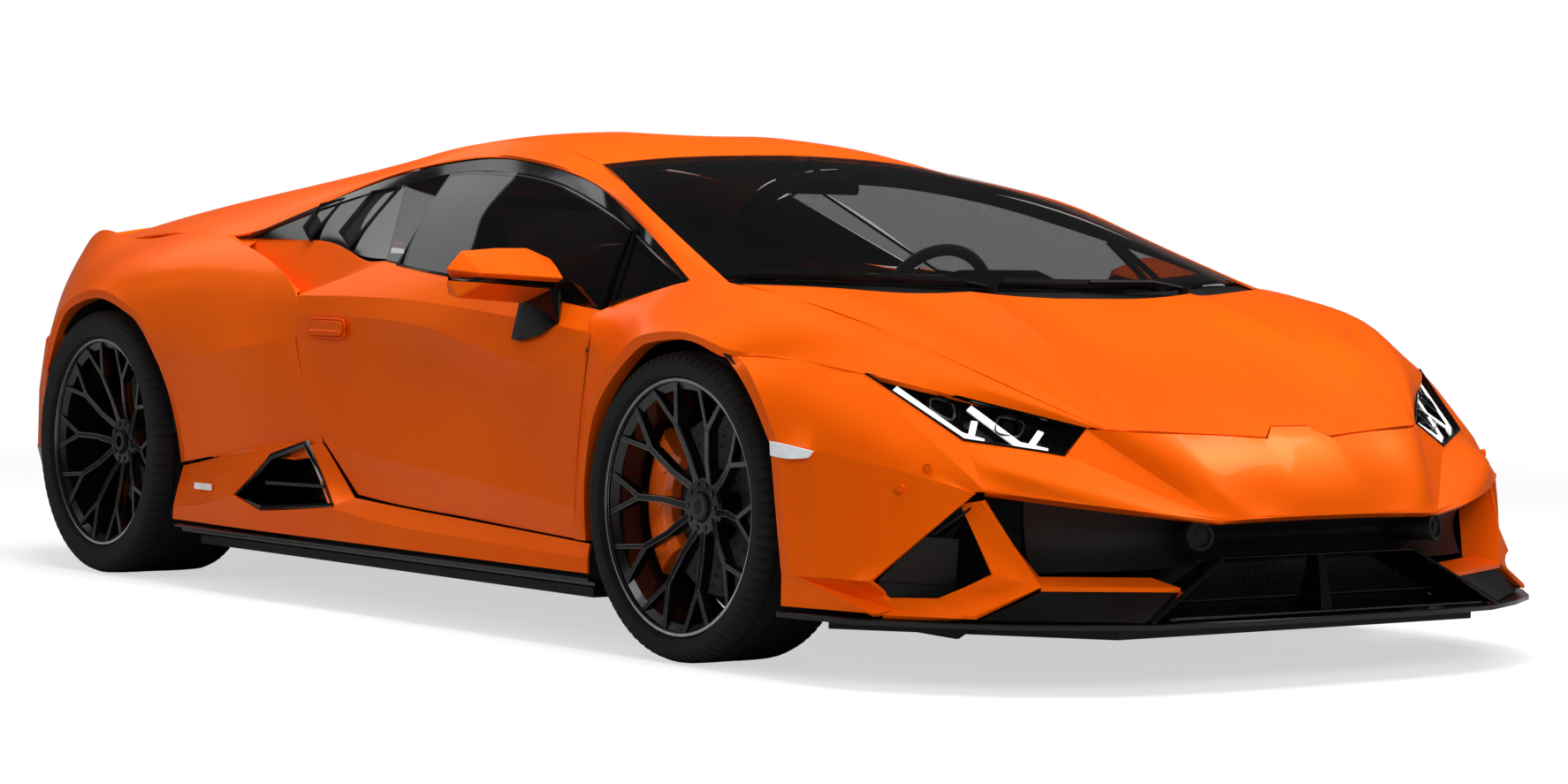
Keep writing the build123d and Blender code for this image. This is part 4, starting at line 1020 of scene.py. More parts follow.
addPiece("windscreenGlass", wholeSheet(screenRows, thickness=5, inside=(0.6, 0, 0.5)), tintedGlass,
         "chassis", "windscreen")
doorGlass = sheet(doorGlassRows, thickness=4, inside=(0.2, 0.2, 0.7))
addToDoors("doorGlass", doorGlass, tintedGlass, "door_window")
rearPane = boxPart((-634, -340, 740), (-628, 340, 970))
frontQuarter = sheet(frontQuarterGlass, thickness=4, inside=(0.8, 0.3, 0.7))
rearQuarter = sheet(rearQuarterGlass, thickness=4, inside=(-0.3, 0.3, 0.7))
addPiece("quarterAndRearGlass", joinParts([bothSides(frontQuarter), bothSides(rearQuarter), rearPane]),
         tintedGlass, "chassis", "fixed_windows")


def screenBand():
    # the fired band just inside the windscreen: a strip along each edge of its table of points
    def strip(edge, inner, width, drop):
        pairs = [(p, between(p, q, width / dist(p, q))) for p, q in zip(edge, inner)]
        return [[(x, y - drop[0], z - drop[1]) for x, y, z in pair] for pair in pairs]

    behind = {"thickness": 2, "inside": (0.6, 0, 0.5)}
    side = zip(*strip(screenRows[-1], screenRows[-2], glassLook["sideBand"], (4, 5)))
    columns = list(zip(*screenRows))
    foot = strip(columns[0], columns[1], glassLook["footBand"], (0, 7))
    head = strip(columns[-1], columns[-2], glassLook["headBand"], (0, 7))
    return joinParts([bothSides(sheet(list(side), **behind)), wholeSheet(foot, **behind),
                      wholeSheet(head, **behind)])


addPiece("windscreenBand", screenBand(), fritBlack)


def windowMouldings():
    # the line over the side windows, the bars of the front quarter window and the belt strip
    r = glassLook["frameRadius"]
    roofLine = smoothPath([(1092, 802, 797), (900, 754, 860), (700, 692, 919), (430, 630, 988),
                           (190, 582, 1029), (-50, 562, 1049), (-290, 557, 1043), (-420, 596, 1018)])
    return bothSides(joinParts([
        tubePart([(x, y + 1, z - 4) for x, y, z in roofLine], r * 0.7, 6),
        tubePart([(756, 708, 903), (874, 848, 744)], r * 1.5, 6),
        tubePart([(868, 846, 748), (1088, 800, 797)], r * 0.8, 6),
    ]))


addPiece("windowMouldings", windowMouldings(), pianoBlack)


def doorMouldings():
    r = glassLook["frameRadius"]
    belt = smoothPath([(836, 853, 730), (640, 856, 756), (400, 853, 780), (120, 841, 805), (-70, 824, 822)])
    return joinParts([
        tubePart(belt, r * 0.9, 6),
        tubePart([(734, 706, 903), (828, 850, 732)], r * 1.5, 6),
        tubePart([(-274, 557, 1041), (-62, 824, 818)], r * 0.7, 6),
    ])


addToDoors("doorMouldings", doorMouldings(), pianoBlack)

print("cowl and wipers")
wiperLook = {
    "wipers": ((1400, 330, -190), (1395, -230, -700)),  # X and Y of the pivot, Y of the blade's far end
    "bladeRadius": 7,
    "armRadius": 8,
}


def cowlPart():
    edges = [[(1486, 0, 758), (1480, 92, 758), (1446, 317, 765), (1329, 562, 776), (1222, 740, 780)],
             [(1456, 0, 770), (1450, 90, 770), (1418, 314, 776), (1302, 560, 788), (1180, 748, 792)],
             [(1421, 0, 787), (1416, 90, 787), (1384, 305, 790), (1271, 540, 800), (1136, 738, 800)]]
    return wholeSheet(list(zip(*edges)), thickness=8, inside=(1.3, 0, 0.3))


addPiece("cowlPanel", cowlPart(), mouldedBlack, "chassis", "cowl_panel")


def screenPoint(y, share):
    # a point on the windscreen: share runs from its foot up
    row = np.array(screenRows, float)
    ys = row[:, 0, 1]
    i = min(max(int(np.searchsorted(ys, abs(y))) - 1, 0), len(row) - 2)
    mix = (abs(y) - ys[i]) / (ys[i + 1] - ys[i])
    foot = row[i, 0] * (1 - mix) + row[i + 1, 0] * mix
    head = row[i, 1] * (1 - mix) + row[i + 1, 1] * mix
    x, _, z = foot + (head - foot) * share
    return (x, y, z)


def wiperPart(pivotX, pivotY, endY):
    low, high = screenPoint(pivotY + (endY - pivotY) * 0.12, -0.02), screenPoint(endY, 0.0)
    blade = [between(low, high, k / 6) for k in range(7)]
    blade = [(x + 4, y, z + 3) for x, y, z in (screenPoint(p[1], 0.01 * k / 6) for k, p in enumerate(blade))]
    arm = [(pivotX + 20, pivotY, 794), (blade[2][0] + 16, (pivotY + blade[2][1]) / 2, blade[2][2] + 5),
           (blade[3][0] + 4, blade[3][1], blade[3][2] + 4)]
    return joinParts([tubePart(blade, wiperLook["bladeRadius"], 6, 1.6),
                      tubePart(arm, wiperLook["armRadius"], 6, 0.6),
                      cylinderPart((pivotX + 20, pivotY, 776), (pivotX + 20, pivotY, 798), 14, 20)])


wipers = joinParts([wiperPart(*wiper) for wiper in wiperLook["wipers"]])
addPiece("wipers", wipers, mouldedBlack)

print("rear shoulder")
shoulderLook = {
    "fillerPlace": (-548, 804, 804),
    "fillerRadius": 62,
    "bladeRadius": 7,  # edge of the blades that stand across the vent
}


def fillerCap():
    out = Vector((0, 0.55, 0.84)).normalized()
    start = Vector(shoulderLook["fillerPlace"]) - out * 14
    radius = shoulderLook["fillerRadius"]
    return joinParts([cylinderPart(start, start + out * 20, radius, 48, bore=radius - 4),
                      cylinderPart(start, start + out * 17, radius - 5.5, 48)])


addPiece("fillerCap", fillerCap(), paint, bevel=1)


def louvreFrames():
    # black slanted blades standing across the vent behind the rear quarter window
    frames = ([(-436, 598, 1013), (-524, 624, 1000), (-490, 735, 900), (-394, 768, 862)],
              [(-636, 640, 983), (-714, 662, 968), (-690, 723, 912), (-624, 748, 880)])
    blades = []
    for corners in frames:
        blades.append(tubePart(corners, shoulderLook["bladeRadius"], 6, closed=True))
        blades.append(facet(corners, 5, (-0.5, 0.3, 0.6)))
    return joinParts([bothSides(b) for b in blades])


addPiece("sideVentBlades", louvreFrames(), mouldedBlack)

print("side skirts")
skirtLook = {
    "vaneThickness": 8,  # the vane across the intake
    "frameRadius": 9,
    "bladeThickness": 7,  # the black blade along the sill
}
skirtFront = [
    [(925, 934, 229), (640, 930, 240), (400, 926, 249), (130, 923, 259), (-82, 926, 270)],
    [(935, 948, 198), (640, 945, 204), (400, 945, 210), (130, 948, 218), (-150, 958, 244)],
    [(945, 955, 167), (640, 955, 167), (400, 955, 167), (130, 955, 167), (-159, 955, 167)],
]
skirtStep = [
    [(-238, 926, 388), (-160, 927, 328), (-82, 928, 268)],
    [(-318, 930, 386), (-238, 940, 316), (-150, 958, 244)],
]
skirtRear = [
    [(-318, 930, 386), (-440, 925, 385), (-700, 920, 345), (-968, 912, 302)],
    [(-462, 944, 353), (-580, 946, 322), (-770, 938, 284), (-968, 928, 248)],
    [(-602, 970, 249), (-680, 964, 234), (-820, 955, 213), (-968, 940, 200)],
]
skirtFoot = [
    [(-140, 956, 246), (-300, 963, 231), (-470, 966, 217), (-602, 970, 249), (-780, 957, 217),
     (-968, 940, 200)],
    [(-159, 955, 167), (-300, 956, 167), (-470, 957, 167), (-602, 957, 167), (-780, 950, 167),
     (-968, 942, 167)],
]
skirtInside = (0, 0.5, 0.2)
skirts = joinParts([
    sheet(skirtFront, creaseRows=(1,), inside=skirtInside), sheet(skirtStep, inside=skirtInside),
    sheet(skirtRear, creaseRows=(1,), inside=(-0.5, 0.4, 0.2)),
    sheet(skirtFoot, creaseColumns=(2, 3), inside=(-0.5, 0.5, 0.2))])
addSkin("sideSkirtSkins", bothSides(skirts), "side_skirts")


def skirtIntake():
    # a black mouth with a thick frame and a blade across it
    mouth = [(-600, 962, 250), (-459, 940, 351), (-310, 932, 388), (-140, 952, 250), (-470, 962, 222)]
    deep = [(-560, 845, 252), (-450, 836, 330), (-340, 834, 360), (-250, 845, 258), (-450, 848, 236)]
    centre = (-0.4, 0.9, 0.3)
    walls = [facet([a, b, d, c], 5, centre)
             for a, b, c, d in zip(mouth, mouth[1:] + mouth[:1], deep, deep[1:] + deep[:1])]
    mouthFrame = tubePart([(x, y - 2, z) for x, y, z in mouth], skirtLook["frameRadius"], 6, closed=True)
    half = skirtLook["vaneThickness"] / 2
    vaneCorners = ((-471, 952, 286), (-190, 950, 292), (-440, 850, 280), (-330, 850, 284))
    vane = hullPart([(x, y, z + step) for x, y, z in vaneCorners for step in (-half, half)])
    return bothSides(joinParts([*walls, plateOutline(deep, 5, (0, -1, 0)), mouthFrame, vane]))


addPiece("skirtIntakes", skirtIntake(), pianoBlack)


def skirtBladePart():
    # low black blade along the sill, widest ahead of the rear wheel, with a sharp outer edge
    stations = [(945, 950), (600, 952), (100, 954), (-400, 960), (-800, 962), (-930, 955)]
    rows = [[(x, y - 4, 158), (x, y + 3, 155), (x, y + 2, 151), (x, y - 18, 145)] for x, y in stations]
    top = sheet(rows, creaseColumns=(1, 2), thickness=skirtLook["bladeThickness"], inside=(0, 0.8, 0.15),
                cellSize=40)
    web = boxPart((-940, 880, 138), (940, 930, 145))
    return joinParts([bothSides(top), bothSides(web)])


addPiece("skirtBlades", skirtBladePart(), pianoBlack, "chassis", "skirt_blades")
badge = boxPart((-820, 956, 252), (-735, 960, 268))
addPiece("blankSideBadges", bothSides(badge), whiteEnamel)

print("mirrors")
mirrorLook = {
    "tip": (606, 1110, 816),
    "paneDepth": 4,
}


def mirrorHead():
    # faceted upper shell: ridge along its front, a chamfered crown and a slanted outer end
    ridge = [(700, 1074, 809), (704, 1000, 806), (706, 866, 799)]
    crown = [(604, 1068, 857), (630, 997, 864), (634, 916, 865), (626, 850, 843), (618, 826, 824)]
    back = [(588, 1090, 812), (584, 1062, 850), (582, 930, 858), (584, 850, 832), (586, 836, 806)]
    foot = [(690, 1070, 800), (694, 870, 790), (586, 1084, 796), (586, 850, 792)]
    return hullPart([mirrorLook["tip"]] + ridge + crown + back + foot)


def mirrorSlot():
    # the black slot under the ridge
    return hullPart([(686, 1066, 802), (690, 872, 792), (686, 1066, 788), (690, 880, 778), (590, 1080, 802),
                     (590, 852, 794), (590, 1090, 780), (590, 868, 776)])


def mirrorChin():
    # the lower shell
    return hullPart([(604, 1106, 792), (696, 1071, 788), (692, 890, 775), (661, 872, 768), (640, 1100, 754),
                     (644, 937, 743), (590, 1096, 790), (588, 1090, 760), (588, 930, 750), (590, 878, 768)])


def mirrorStalk():
    return hullPart([(572, 916, 661), (616, 918, 658), (684, 912, 673), (738, 898, 701), (704, 864, 728),
                     (590, 862, 728), (636, 918, 748), (604, 914, 752), (694, 890, 768), (692, 864, 774),
                     (620, 862, 774)])


paneOutline = [(896, 790), (940, 772), (1040, 770), (1084, 784), (1088, 818), (1066, 842), (960, 848),
               (900, 838)]
paneBack = 585 - mirrorLook["paneDepth"]
glassRing = tubePart([(paneBack + 1, y, z) for y, z in paneOutline], 4, 6, closed=True)
pane = hullPart([(x, y, z) for x in (paneBack, 586) for y, z in paneOutline])
shell = joinParts([mirrorHead(), mirrorChin()])
footing = joinParts([mirrorSlot(), mirrorStalk(), glassRing])
for side, turn in carSides:
    body, label = f"door_{side}", side.capitalize()
    addPiece(f"mirrorHead{label}", turn(shell), paint, body, f"mirror_{side}", bevel=3)
    addPiece(f"mirrorFoot{label}", turn(footing), pianoBlack, body, bevel=2)
    addPiece(f"mirrorPane{label}", turn(pane), lampChrome, body)

print("wheels")
wheelLook = {
    "armPairs": 5,
    "rootTurn": 24.7,  # degrees an arm's root stands off the middle of its pair
    "bendTurn": 17.5,
    "forkTurn": 18.5,
    "tipTurn": 9.4,
    "forkRadius": 176,
    "tipRadius": 262,
    "chamfer": 0.3,  # share of an arm's width and depth that its sloped shoulders take
    "highlightWidth": 1.8,  # painted highlight strip along each side of an arm
    "rimInset": 14,  # from the tyre's widest point in to the rim's edge
    "hubInset": 62,  # from the rim's edge in to the hub's face
    "beadRadius": 271.5,
    "bolts": 10,
    "blocks": 84,  # shoulder blocks round a tyre
    "blockDepth": 4.5,
    "treadDepth": 6,
}
wheelEnds = {
    "front": {"centre": (1260, 834, 327.5), "radius": 327.5, "width": 245},
    "rear": {"centre": (-1360, 810, 345.5), "radius": 345.5, "width": 305},
}
for end in wheelEnds.values():
    end["rimHalf"] = end["width"] / 2 - wheelLook["rimInset"]
    end["hubY"] = end["rimHalf"] - wheelLook["hubInset"]


def tyrePart(end):
    # carcass profile from bead to bead, with grooves round it and blocks cut in the shoulders;
    # each row is radius, offset and whether the cuts between blocks reach it
    half, r = end["width"] / 2, end["radius"]
    bead, treadFoot = wheelLook["beadRadius"], r - wheelLook["treadDepth"]
    outer = [(bead + 0.6, half - 29, False), (bead + 2.5, half - 13, False), (bead + 7, half - 4, False),
             (bead + 14, half - 1.2, False), ((bead + r) / 2 + 2, half - 0.4, False),
             (r - 24, half - 0.6, False), (r - 15, half - 4.5, True), (r - 8, half - 11, True),
             (r - 2.4, half - 26, True)]
    for groove in (half * 0.62, half * 0.2):
        crown = 0.7 if groove < 50 else 0
        outer += [(r - 1 + crown, groove + 7, False), (treadFoot, groove + 5, False),
                  (treadFoot, groove - 5, False), (r - 0.6, groove - 7, False)]
    profile = outer + [(radius, -y, block) for radius, y, block in reversed(outer)]
    steps, n = wheelLook["blocks"] * 4, len(profile)
    verts, faces = [], []
    for i in range(steps):
        nextRing = ((i + 1) % steps) * n
        for k, (radius, y, block) in enumerate(profile):
            cut = wheelLook["blockDepth"] if block and i % 4 == 3 else 0
            drawnIn = cut * 0.45 if abs(y) > half - 12 else 0
            spot = aboutAxle(end["centre"], radius - cut, 2 * pi * i / steps,
                             y - copysign(drawnIn, y))
            verts.append(tuple(c * mm for c in spot))
            faces.append((i * n + k, i * n + (k + 1) % n, nextRing + (k + 1) % n, nextRing + k))
    return verts, faces, []


def wheelBar(end, start, tip, widths, depths, offsets=(0, 0), proud=0.0):
    # one length of an arm between two (radius, degrees, y offset) stations: flat face, sides sloping back
    chamfer = wheelLook["chamfer"]
    corners = []
    for (radius, degrees, y), width, depth, offset in zip((start, tip), widths, depths, offsets):
        turn = radians(degrees)
        across = Vector((cos(turn), 0, -sin(turn)))
        middle = Vector(aboutAxle(end["centre"], radius, turn, y + proud)) + across * offset
        face, foot = width / 2 * (1 - chamfer), width * 0.42
        corners += [tuple(middle + across * a + Vector((0, b, 0))) for a, b in (
            (-width / 2, -chamfer * depth), (-face, 0), (face, 0), (width / 2, -chamfer * depth),
            (foot, -depth), (-foot, -depth))]
    return hullPart(corners)


def wheelArms(end):
    # every bar of the arms as start, tip, (start width, end width), (start depth, end depth)
    rimHalf = end["rimHalf"]
    bars = []
    for pair in range(wheelLook["armPairs"]):
        middle = 360 * pair / wheelLook["armPairs"] + 4
        for hand in (-1, 1):
            root = (54, middle + hand * wheelLook["rootTurn"], end["hubY"])
            bend = (112, middle + hand * wheelLook["bendTurn"], rimHalf - 44)
            fork = (wheelLook["forkRadius"], middle + hand * wheelLook["forkTurn"], rimHalf - 25)
            bars += [(root, bend, (19, 16), (26, 28)), (bend, fork, (16, 15), (28, 28))]
            for side in (-1, 1):
                tip = (wheelLook["tipRadius"], fork[1] + side * wheelLook["tipTurn"], rimHalf - 8)
                bars.append((fork, tip, (12, 10), (26, 22)))
    return bars


def rimPart(end):
    # barrel, ten arms in five pairs that each fork near the rim, hub and blank centre cap
    rimHalf, hubY, bead = end["rimHalf"], end["hubY"], wheelLook["beadRadius"]
    well = [(262, rimHalf - 1), (263, rimHalf - 12), (246, rimHalf - 22), (243, rimHalf - 60),
            (243, 60 - rimHalf), (246, 22 - rimHalf), (262.5, 8 - rimHalf), (262.5, -rimHalf),
            (bead, -rimHalf), (bead, 14 - rimHalf), (254, 30 - rimHalf), (254, rimHalf - 30),
            (bead - 0.3, rimHalf - 14), (bead - 0.3, rimHalf - 3)]
    hub = [(24, -34), (66, -34), (66, -8), (60, -1), (34, 0), (31, -4), (28, -4), (28, 5), (26, 7), (20, 7),
           (19, 5), (16, 5), (15, 8), (0.5, 8), (0.5, 3), (24, 1)]
    bolts = [cylinderPart(*(aboutAxle(end["centre"], 47, 2 * pi * (k + 0.5) / wheelLook["bolts"],
                                      hubY + y)
                            for y in (-10, 2)), 7, 6) for k in range(wheelLook["bolts"])]
    return joinParts([turnedPart(well, end["centre"], 120)]
                     + [wheelBar(end, *bar) for bar in wheelArms(end)]
                     + [turnedPart([(radius, hubY + y) for radius, y in hub], end["centre"], 64)] + bolts)


def rimHighlightStrips(end):
    # light grey strips on both edges of every arm and a ring round the blank cap: painted highlights
    width, capY = wheelLook["highlightWidth"], end["hubY"] + 4
    edges = [wheelBar(end, start, tip, (width, width * 0.8), (3, 3), [hand * 0.39 * w for w in widths], -0.6)
             for start, tip, widths, _ in wheelArms(end) for hand in (-1, 1)]
    ring = turnedPart([(26.4, capY), (26.4, capY + 4), (29, capY + 4), (29, capY)], end["centre"], 48)
    return joinParts(edges + [ring])


def rimLip(end):
    rimHalf = end["rimHalf"]
    profile = [(262, rimHalf - 6), (264, rimHalf), (269.5, rimHalf), (271.4, rimHalf - 1.5),
               (271.4, rimHalf - 6)]
    return turnedPart(profile, end["centre"], 160)


def discPart(end):
    return turnedPart([(78, -4), (150, -4), (152, -3), (190, -3), (190, -14), (184, -14), (184, -26),
                       (190, -26), (190, -37), (152, -37), (78, -36)], end["centre"], 96)


def discHoleShade(end):
    # the cross-drilling, drawn as black stubs standing just proud of the disc's face: painted shade in place
    # of the holes' dark depth
    parts = []
    for row, (radius, count, faceY) in enumerate(((126, 24, -2.6), (148, 30, -2.6), (170, 30, -2.4))):
        for k in range(count):
            turn = 2 * pi * (k + row * 0.33) / count
            parts.append(cylinderPart(aboutAxle(end["centre"], radius, turn, -6),
                                      aboutAxle(end["centre"], radius, turn, faceY), 4, 8))
    return joinParts(parts)


def caliperPart(end, rearward):
    # six-piston caliper wrapped over the disc's edge on its rearward or forward side
    middle, span = radians(-90 if rearward else 90), radians(42)
    face = [(138, -1), (142, 22), (156, 32), (204, 33), (226, 24), (234, 4), (234, -50), (222, -70),
            (150, -76), (138, -66), (138, -42), (196, -42), (196, -1)]
    body = turnedPart(face, end["centre"], 14, (middle - span, middle + span))
    pistons = [cylinderPart(*(aboutAxle(end["centre"], 176, middle + span * k, y) for y in (28, 37)), 21, 24,
                            17)
               for k in (-0.62, 0, 0.62)]
    return joinParts([body] + pistons)


def uprightPart(end):
    x, y, z = end["centre"]
    return joinParts([cylinderPart((x, y - 95, z - 150), (x, y - 95, z + 165), 21, 20),
                      cylinderPart((x, y - 95, z), (x, y - 54, z), 51, 32),
                      cylinderPart((x, y - 84, z), (x, y - 80, z), 238, 64),
                      cylinderPart((x, y - 56, z), (x, y + end["width"] / 2 - 68, z), 29, 32)])


for place, end in wheelEnds.items():
    turning = (  # what turns with the wheel: name, part, material, node it stands for and what else
        ("tyre", tyrePart(end), tyreRubber, "tyre", {"sharpAngle": 28}),
        ("rim", rimPart(end), wheelBlack, "wheel", {"bevel": 0.9}),
        ("rimLip", rimLip(end), turnedAlloy, "", {}),
        # light strips on the arms' edges and round the cap: painted highlights
        ("rimHighlightStrips", rimHighlightStrips(end), edgeHighlightPaint, "", {}),
        ("brakeDisc", discPart(end), groundDisc, "", {}),
        # black stubs on the disc: painted shade where its holes would be
        ("discHoleShade", discHoleShade(end), mouldedBlack, "", {}),
    )
    caliper, upright = caliperPart(end, place == "front"), uprightPart(end)
    for side, turn in carSides:
        label = place.capitalize() + side.capitalize()
        for name, part, material, node, settings in turning:
            addPiece(name + label, turn(part), material, f"{place}_wheel_{side}",
                     f"{place}_{node}_{side}" if node else (), **settings)
        holder = f"knuckle_{side}" if place == "front" else "chassis"
        addPiece(f"caliper{label}", turn(caliper), caliperPaint, holder, bevel=1.5)
        if place == "front":
            addPiece(f"upright{label}", turn(upright), forgedSteel, holder, f"front_upright_{side}")
    if place == "rear":
        addPiece("rearUprights", bothSides(upright), forgedSteel, "chassis", "rear_uprights")


def archLiners():
    parts = []
    for place, stations in (("front", [(398, 560), (398, 838), (385, 885), (362, 915), (356, 935)]),
                            ("rear", [(374, 590), (376, 880), (378, 930)])):
        x, _, z = wheelEnds[place]["centre"]
        profile = stations + [(radius + 4, y) for radius, y in reversed(stations)]
        liner = turnedPart(profile, (x, 0, z), 40, (radians(-88), radians(84)))
        parts.append(bothSides(liner))
    return joinParts(parts)


addPiece("archLiners", archLiners(), mouldedBlack)

print("cabin")
cabinLook = {
    "seatCentre": 372,
    "wheelCentre": (470, 370, 715),
    "columnFoot": (690, 370, 635),
    "wheelRadius": 172,
}


def seatShell(y):
    # one-piece bucket with raised bolsters: sections from the base's front edge to the top of the back,
    # each x, z, half width, height of the bolsters and the way they rise
    sections = (
        (190, 300, 215, 30, (0, 1)), (170, 345, 225, 45, (0, 1)), (60, 345, 232, 60, (0, 1)),
        (-90, 312, 234, 66, (0, 1)), (-210, 300, 232, 66, (0.2, 1)), (-262, 330, 230, 60, (0.7, 0.7)),
        (-310, 430, 232, 70, (1, 0.1)), (-372, 560, 240, 78, (1, 0)), (-432, 690, 238, 70, (1, 0)),
        (-478, 790, 205, 44, (1, 0)), (-506, 850, 150, 18, (1, 0)), (-532, 925, 128, 10, (1, 0)),
        (-552, 975, 105, 4, (1, 0)))
    rows = []
    for x, z, half, bolster, tilt in sections:
        shares = (-1, -0.82, -0.6, -0.25, 0, 0.25, 0.6, 0.82, 1)
        rises = [bolster * (max(0, abs(share) - 0.55) / 0.45) ** 0.8 for share in shares]
        rows.append([(x + rise * tilt[0], y + share * half, z + rise * tilt[1])
                     for share, rise in zip(shares, rises)])
    return sheet(rows, thickness=48, cellSize=30, inside=(-0.45, y * mm, 0.2))


def seatPanels(y):
    # contrasting middle panels stitched into base and back: rows of x, z and half width
    base = ((150, 352, 120), (30, 350, 125), (-120, 314, 122), (-205, 306, 118))
    back = ((-300, 440, 112), (-362, 565, 118), (-424, 700, 112), (-464, 790, 92))
    return joinParts([sheet([[(x, y - half, z), (x, y + half, z)] for x, z, half in rows], thickness=12,
                            cellSize=30, inside=inside)
                      for rows, inside in ((base, (0, y * mm, 0.2)), (back, (-0.5, y * mm, 0.5)))])


seatSides = (cabinLook["seatCentre"], -cabinLook["seatCentre"])
seats = addPiece("bucketSeats", joinParts([seatShell(y) for y in seatSides]), blackLeather,
                 "chassis", "seats", sharpAngle=60)
seatInserts = addPiece("seatInserts", joinParts([seatPanels(y) for y in seatSides]), suede, sharpAngle=60)


def seatBelt():
    strap = [(x, cabinLook["seatCentre"] + step, z)
             for x, step, z in ((-520, 60, 830), (-470, 70, 800), (-400, 85, 640), (-330, 110, 480))]
    return tubePart(strap, 22, 6, 0.12)


addPiece("seatBelts", bothSides(seatBelt()), orangeLeather)


def dashPart():
    # cowl over the instruments, a falling face and a central screen, from side to side
    profile = [(1060, 782), (960, 797), (840, 792), (760, 778), (700, 756), (668, 712), (664, 668),
               (700, 640), (720, 590), (780, 562), (880, 600), (1060, 700)]
    rows = []
    for y, push, lift in ((0, 0, 0), (150, 0, 0), (260, 4, 2), (370, 8, 6), (480, 4, 2), (600, 20, -6),
                          (686, 50, -20)):
        rows.append([(x + (push if x < 900 else 0), y, z + (lift if z > 650 else 0)) for x, z in profile])
    return wholeSheet(rows, thickness=10, cellSize=40, inside=(0.9, 0, 0.65))


def centreTunnel():
    # stations: x, height of the middle, then half width and height of the shoulder and of the side, and
    # half width of the foot
    stations = ((700, 600, 90, 600, 104, 560, 108), (560, 560, 88, 560, 102, 530, 106),
                (300, 470, 84, 468, 98, 440, 102), (0, 400, 84, 396, 98, 366, 102),
                (-300, 390, 84, 386, 98, 350, 102), (-560, 430, 90, 426, 104, 400, 108))
    rows = zip(*([(x, 0, top), (x, shoulder, shoulderZ), (x, side, sideZ), (x, foot, 160)]
                 for x, top, shoulder, shoulderZ, side, sideZ, foot in stations))
    return wholeSheet(list(rows), thickness=8, cellSize=60, inside=(0, 0, 0.2))


def dashScreens():
    # the central screen and the hood over the instruments, each by (x, z, half width) pairs of points
    def block(middle, points):
        return hullPart([(x, middle + side * half, z) for x, z, half in points for side in (-1, 1)])

    return joinParts([
        block(0, ((668, 610, 78), (668, 765, 78), (690, 606, 82), (690, 770, 82))),
        block(370, ((650, 722, 130), (650, 790, 130), (800, 796, 150), (690, 828, 105), (760, 830, 90)))])


addPiece("dashboardTop", dashPart(), blackLeather, "chassis", "dashboard", sharpAngle=50)
addPiece("centreTunnel", centreTunnel(), suede)
addPiece("dashScreens", dashScreens(), pianoBlack, bevel=4)

wheelCentre, columnFoot = Vector(cabinLook["wheelCentre"]), Vector(cabinLook["columnFoot"])
columnAxis = (columnFoot - wheelCentre).normalized()


def steeringWheelPart():
    # three spokes in a rim that is flattened at its foot
    side = Vector((0, 1, 0))
    up = side.cross(columnAxis).normalized()
    if up.z < 0:
        up = -up

    def at(degrees, radius, depth=0.0):
        turn = radians(degrees)
        flat = 1 if -45 < degrees < 225 else 0.94
        return tuple(wheelCentre + columnAxis * depth
                     + (side * cos(turn) + up * sin(turn)) * radius * flat)

    rim = tubePart([at(k, cabinLook["wheelRadius"]) for k in range(-90, 270, 6)], 15, 10, closed=True)
    hub = cylinderPart(wheelCentre - columnAxis * 18, wheelCentre + columnAxis * 24, 56, 40, 44)
    spokes = [hullPart([at(degrees + hand * spread * share, radius, depth)
                        for radius, share in ((50, 1.6), (162, 0.6))
                        for depth in (-4, 12) for hand in (-1, 1)])
              for degrees, spread in ((0, 12), (180, 12), (270, 9))]
    return joinParts([rim, hub] + spokes)


addPiece("steeringWheelRim", steeringWheelPart(), suede,
         "steering_wheel", "steering_wheel", sharpAngle=40)


def columnAndMirror():
    column = cylinderPart(wheelCentre + columnAxis * 27, columnFoot, 30, 24)
    case = hullPart([(x, side * half, z) for x in (478, 492)
                     for half, z in ((118, 1004), (124, 1018), (112, 1056))
                     for side in (-1, 1)] + [(512, y, z) for y in (-60, 60) for z in (1015, 1045)])
    stem = tubePart([(500, 0, 1040), (475, 0, 1072), (450, 0, 1082)], 9, 8)
    return joinParts([column, case, stem])


insidePane = hullPart([(x, side * half, z) for x, half, z in (
    (477, 112, 1008), (477, 118, 1018), (477, 108, 1052), (475.6, 110, 1010), (475.6, 106, 1050))
    for side in (-1, 1)])
addPiece("columnAndMirror", columnAndMirror(), mouldedBlack, bevel=2)
addPiece("mirrorPaneInside", insidePane, lampChrome)


def edgesOf(rows):
    # upper, lower, front and back edge of a table
    return [rows[0], rows[-1], [row[0] for row in rows], [row[-1] for row in rows]]


def spread(points, count):
    # the same line of points with another number of them
    places = np.linspace(0, len(points) - 1, count)
    return [between(points[int(s)], points[min(int(s) + 1, len(points) - 1)], s % 1) for s in places]


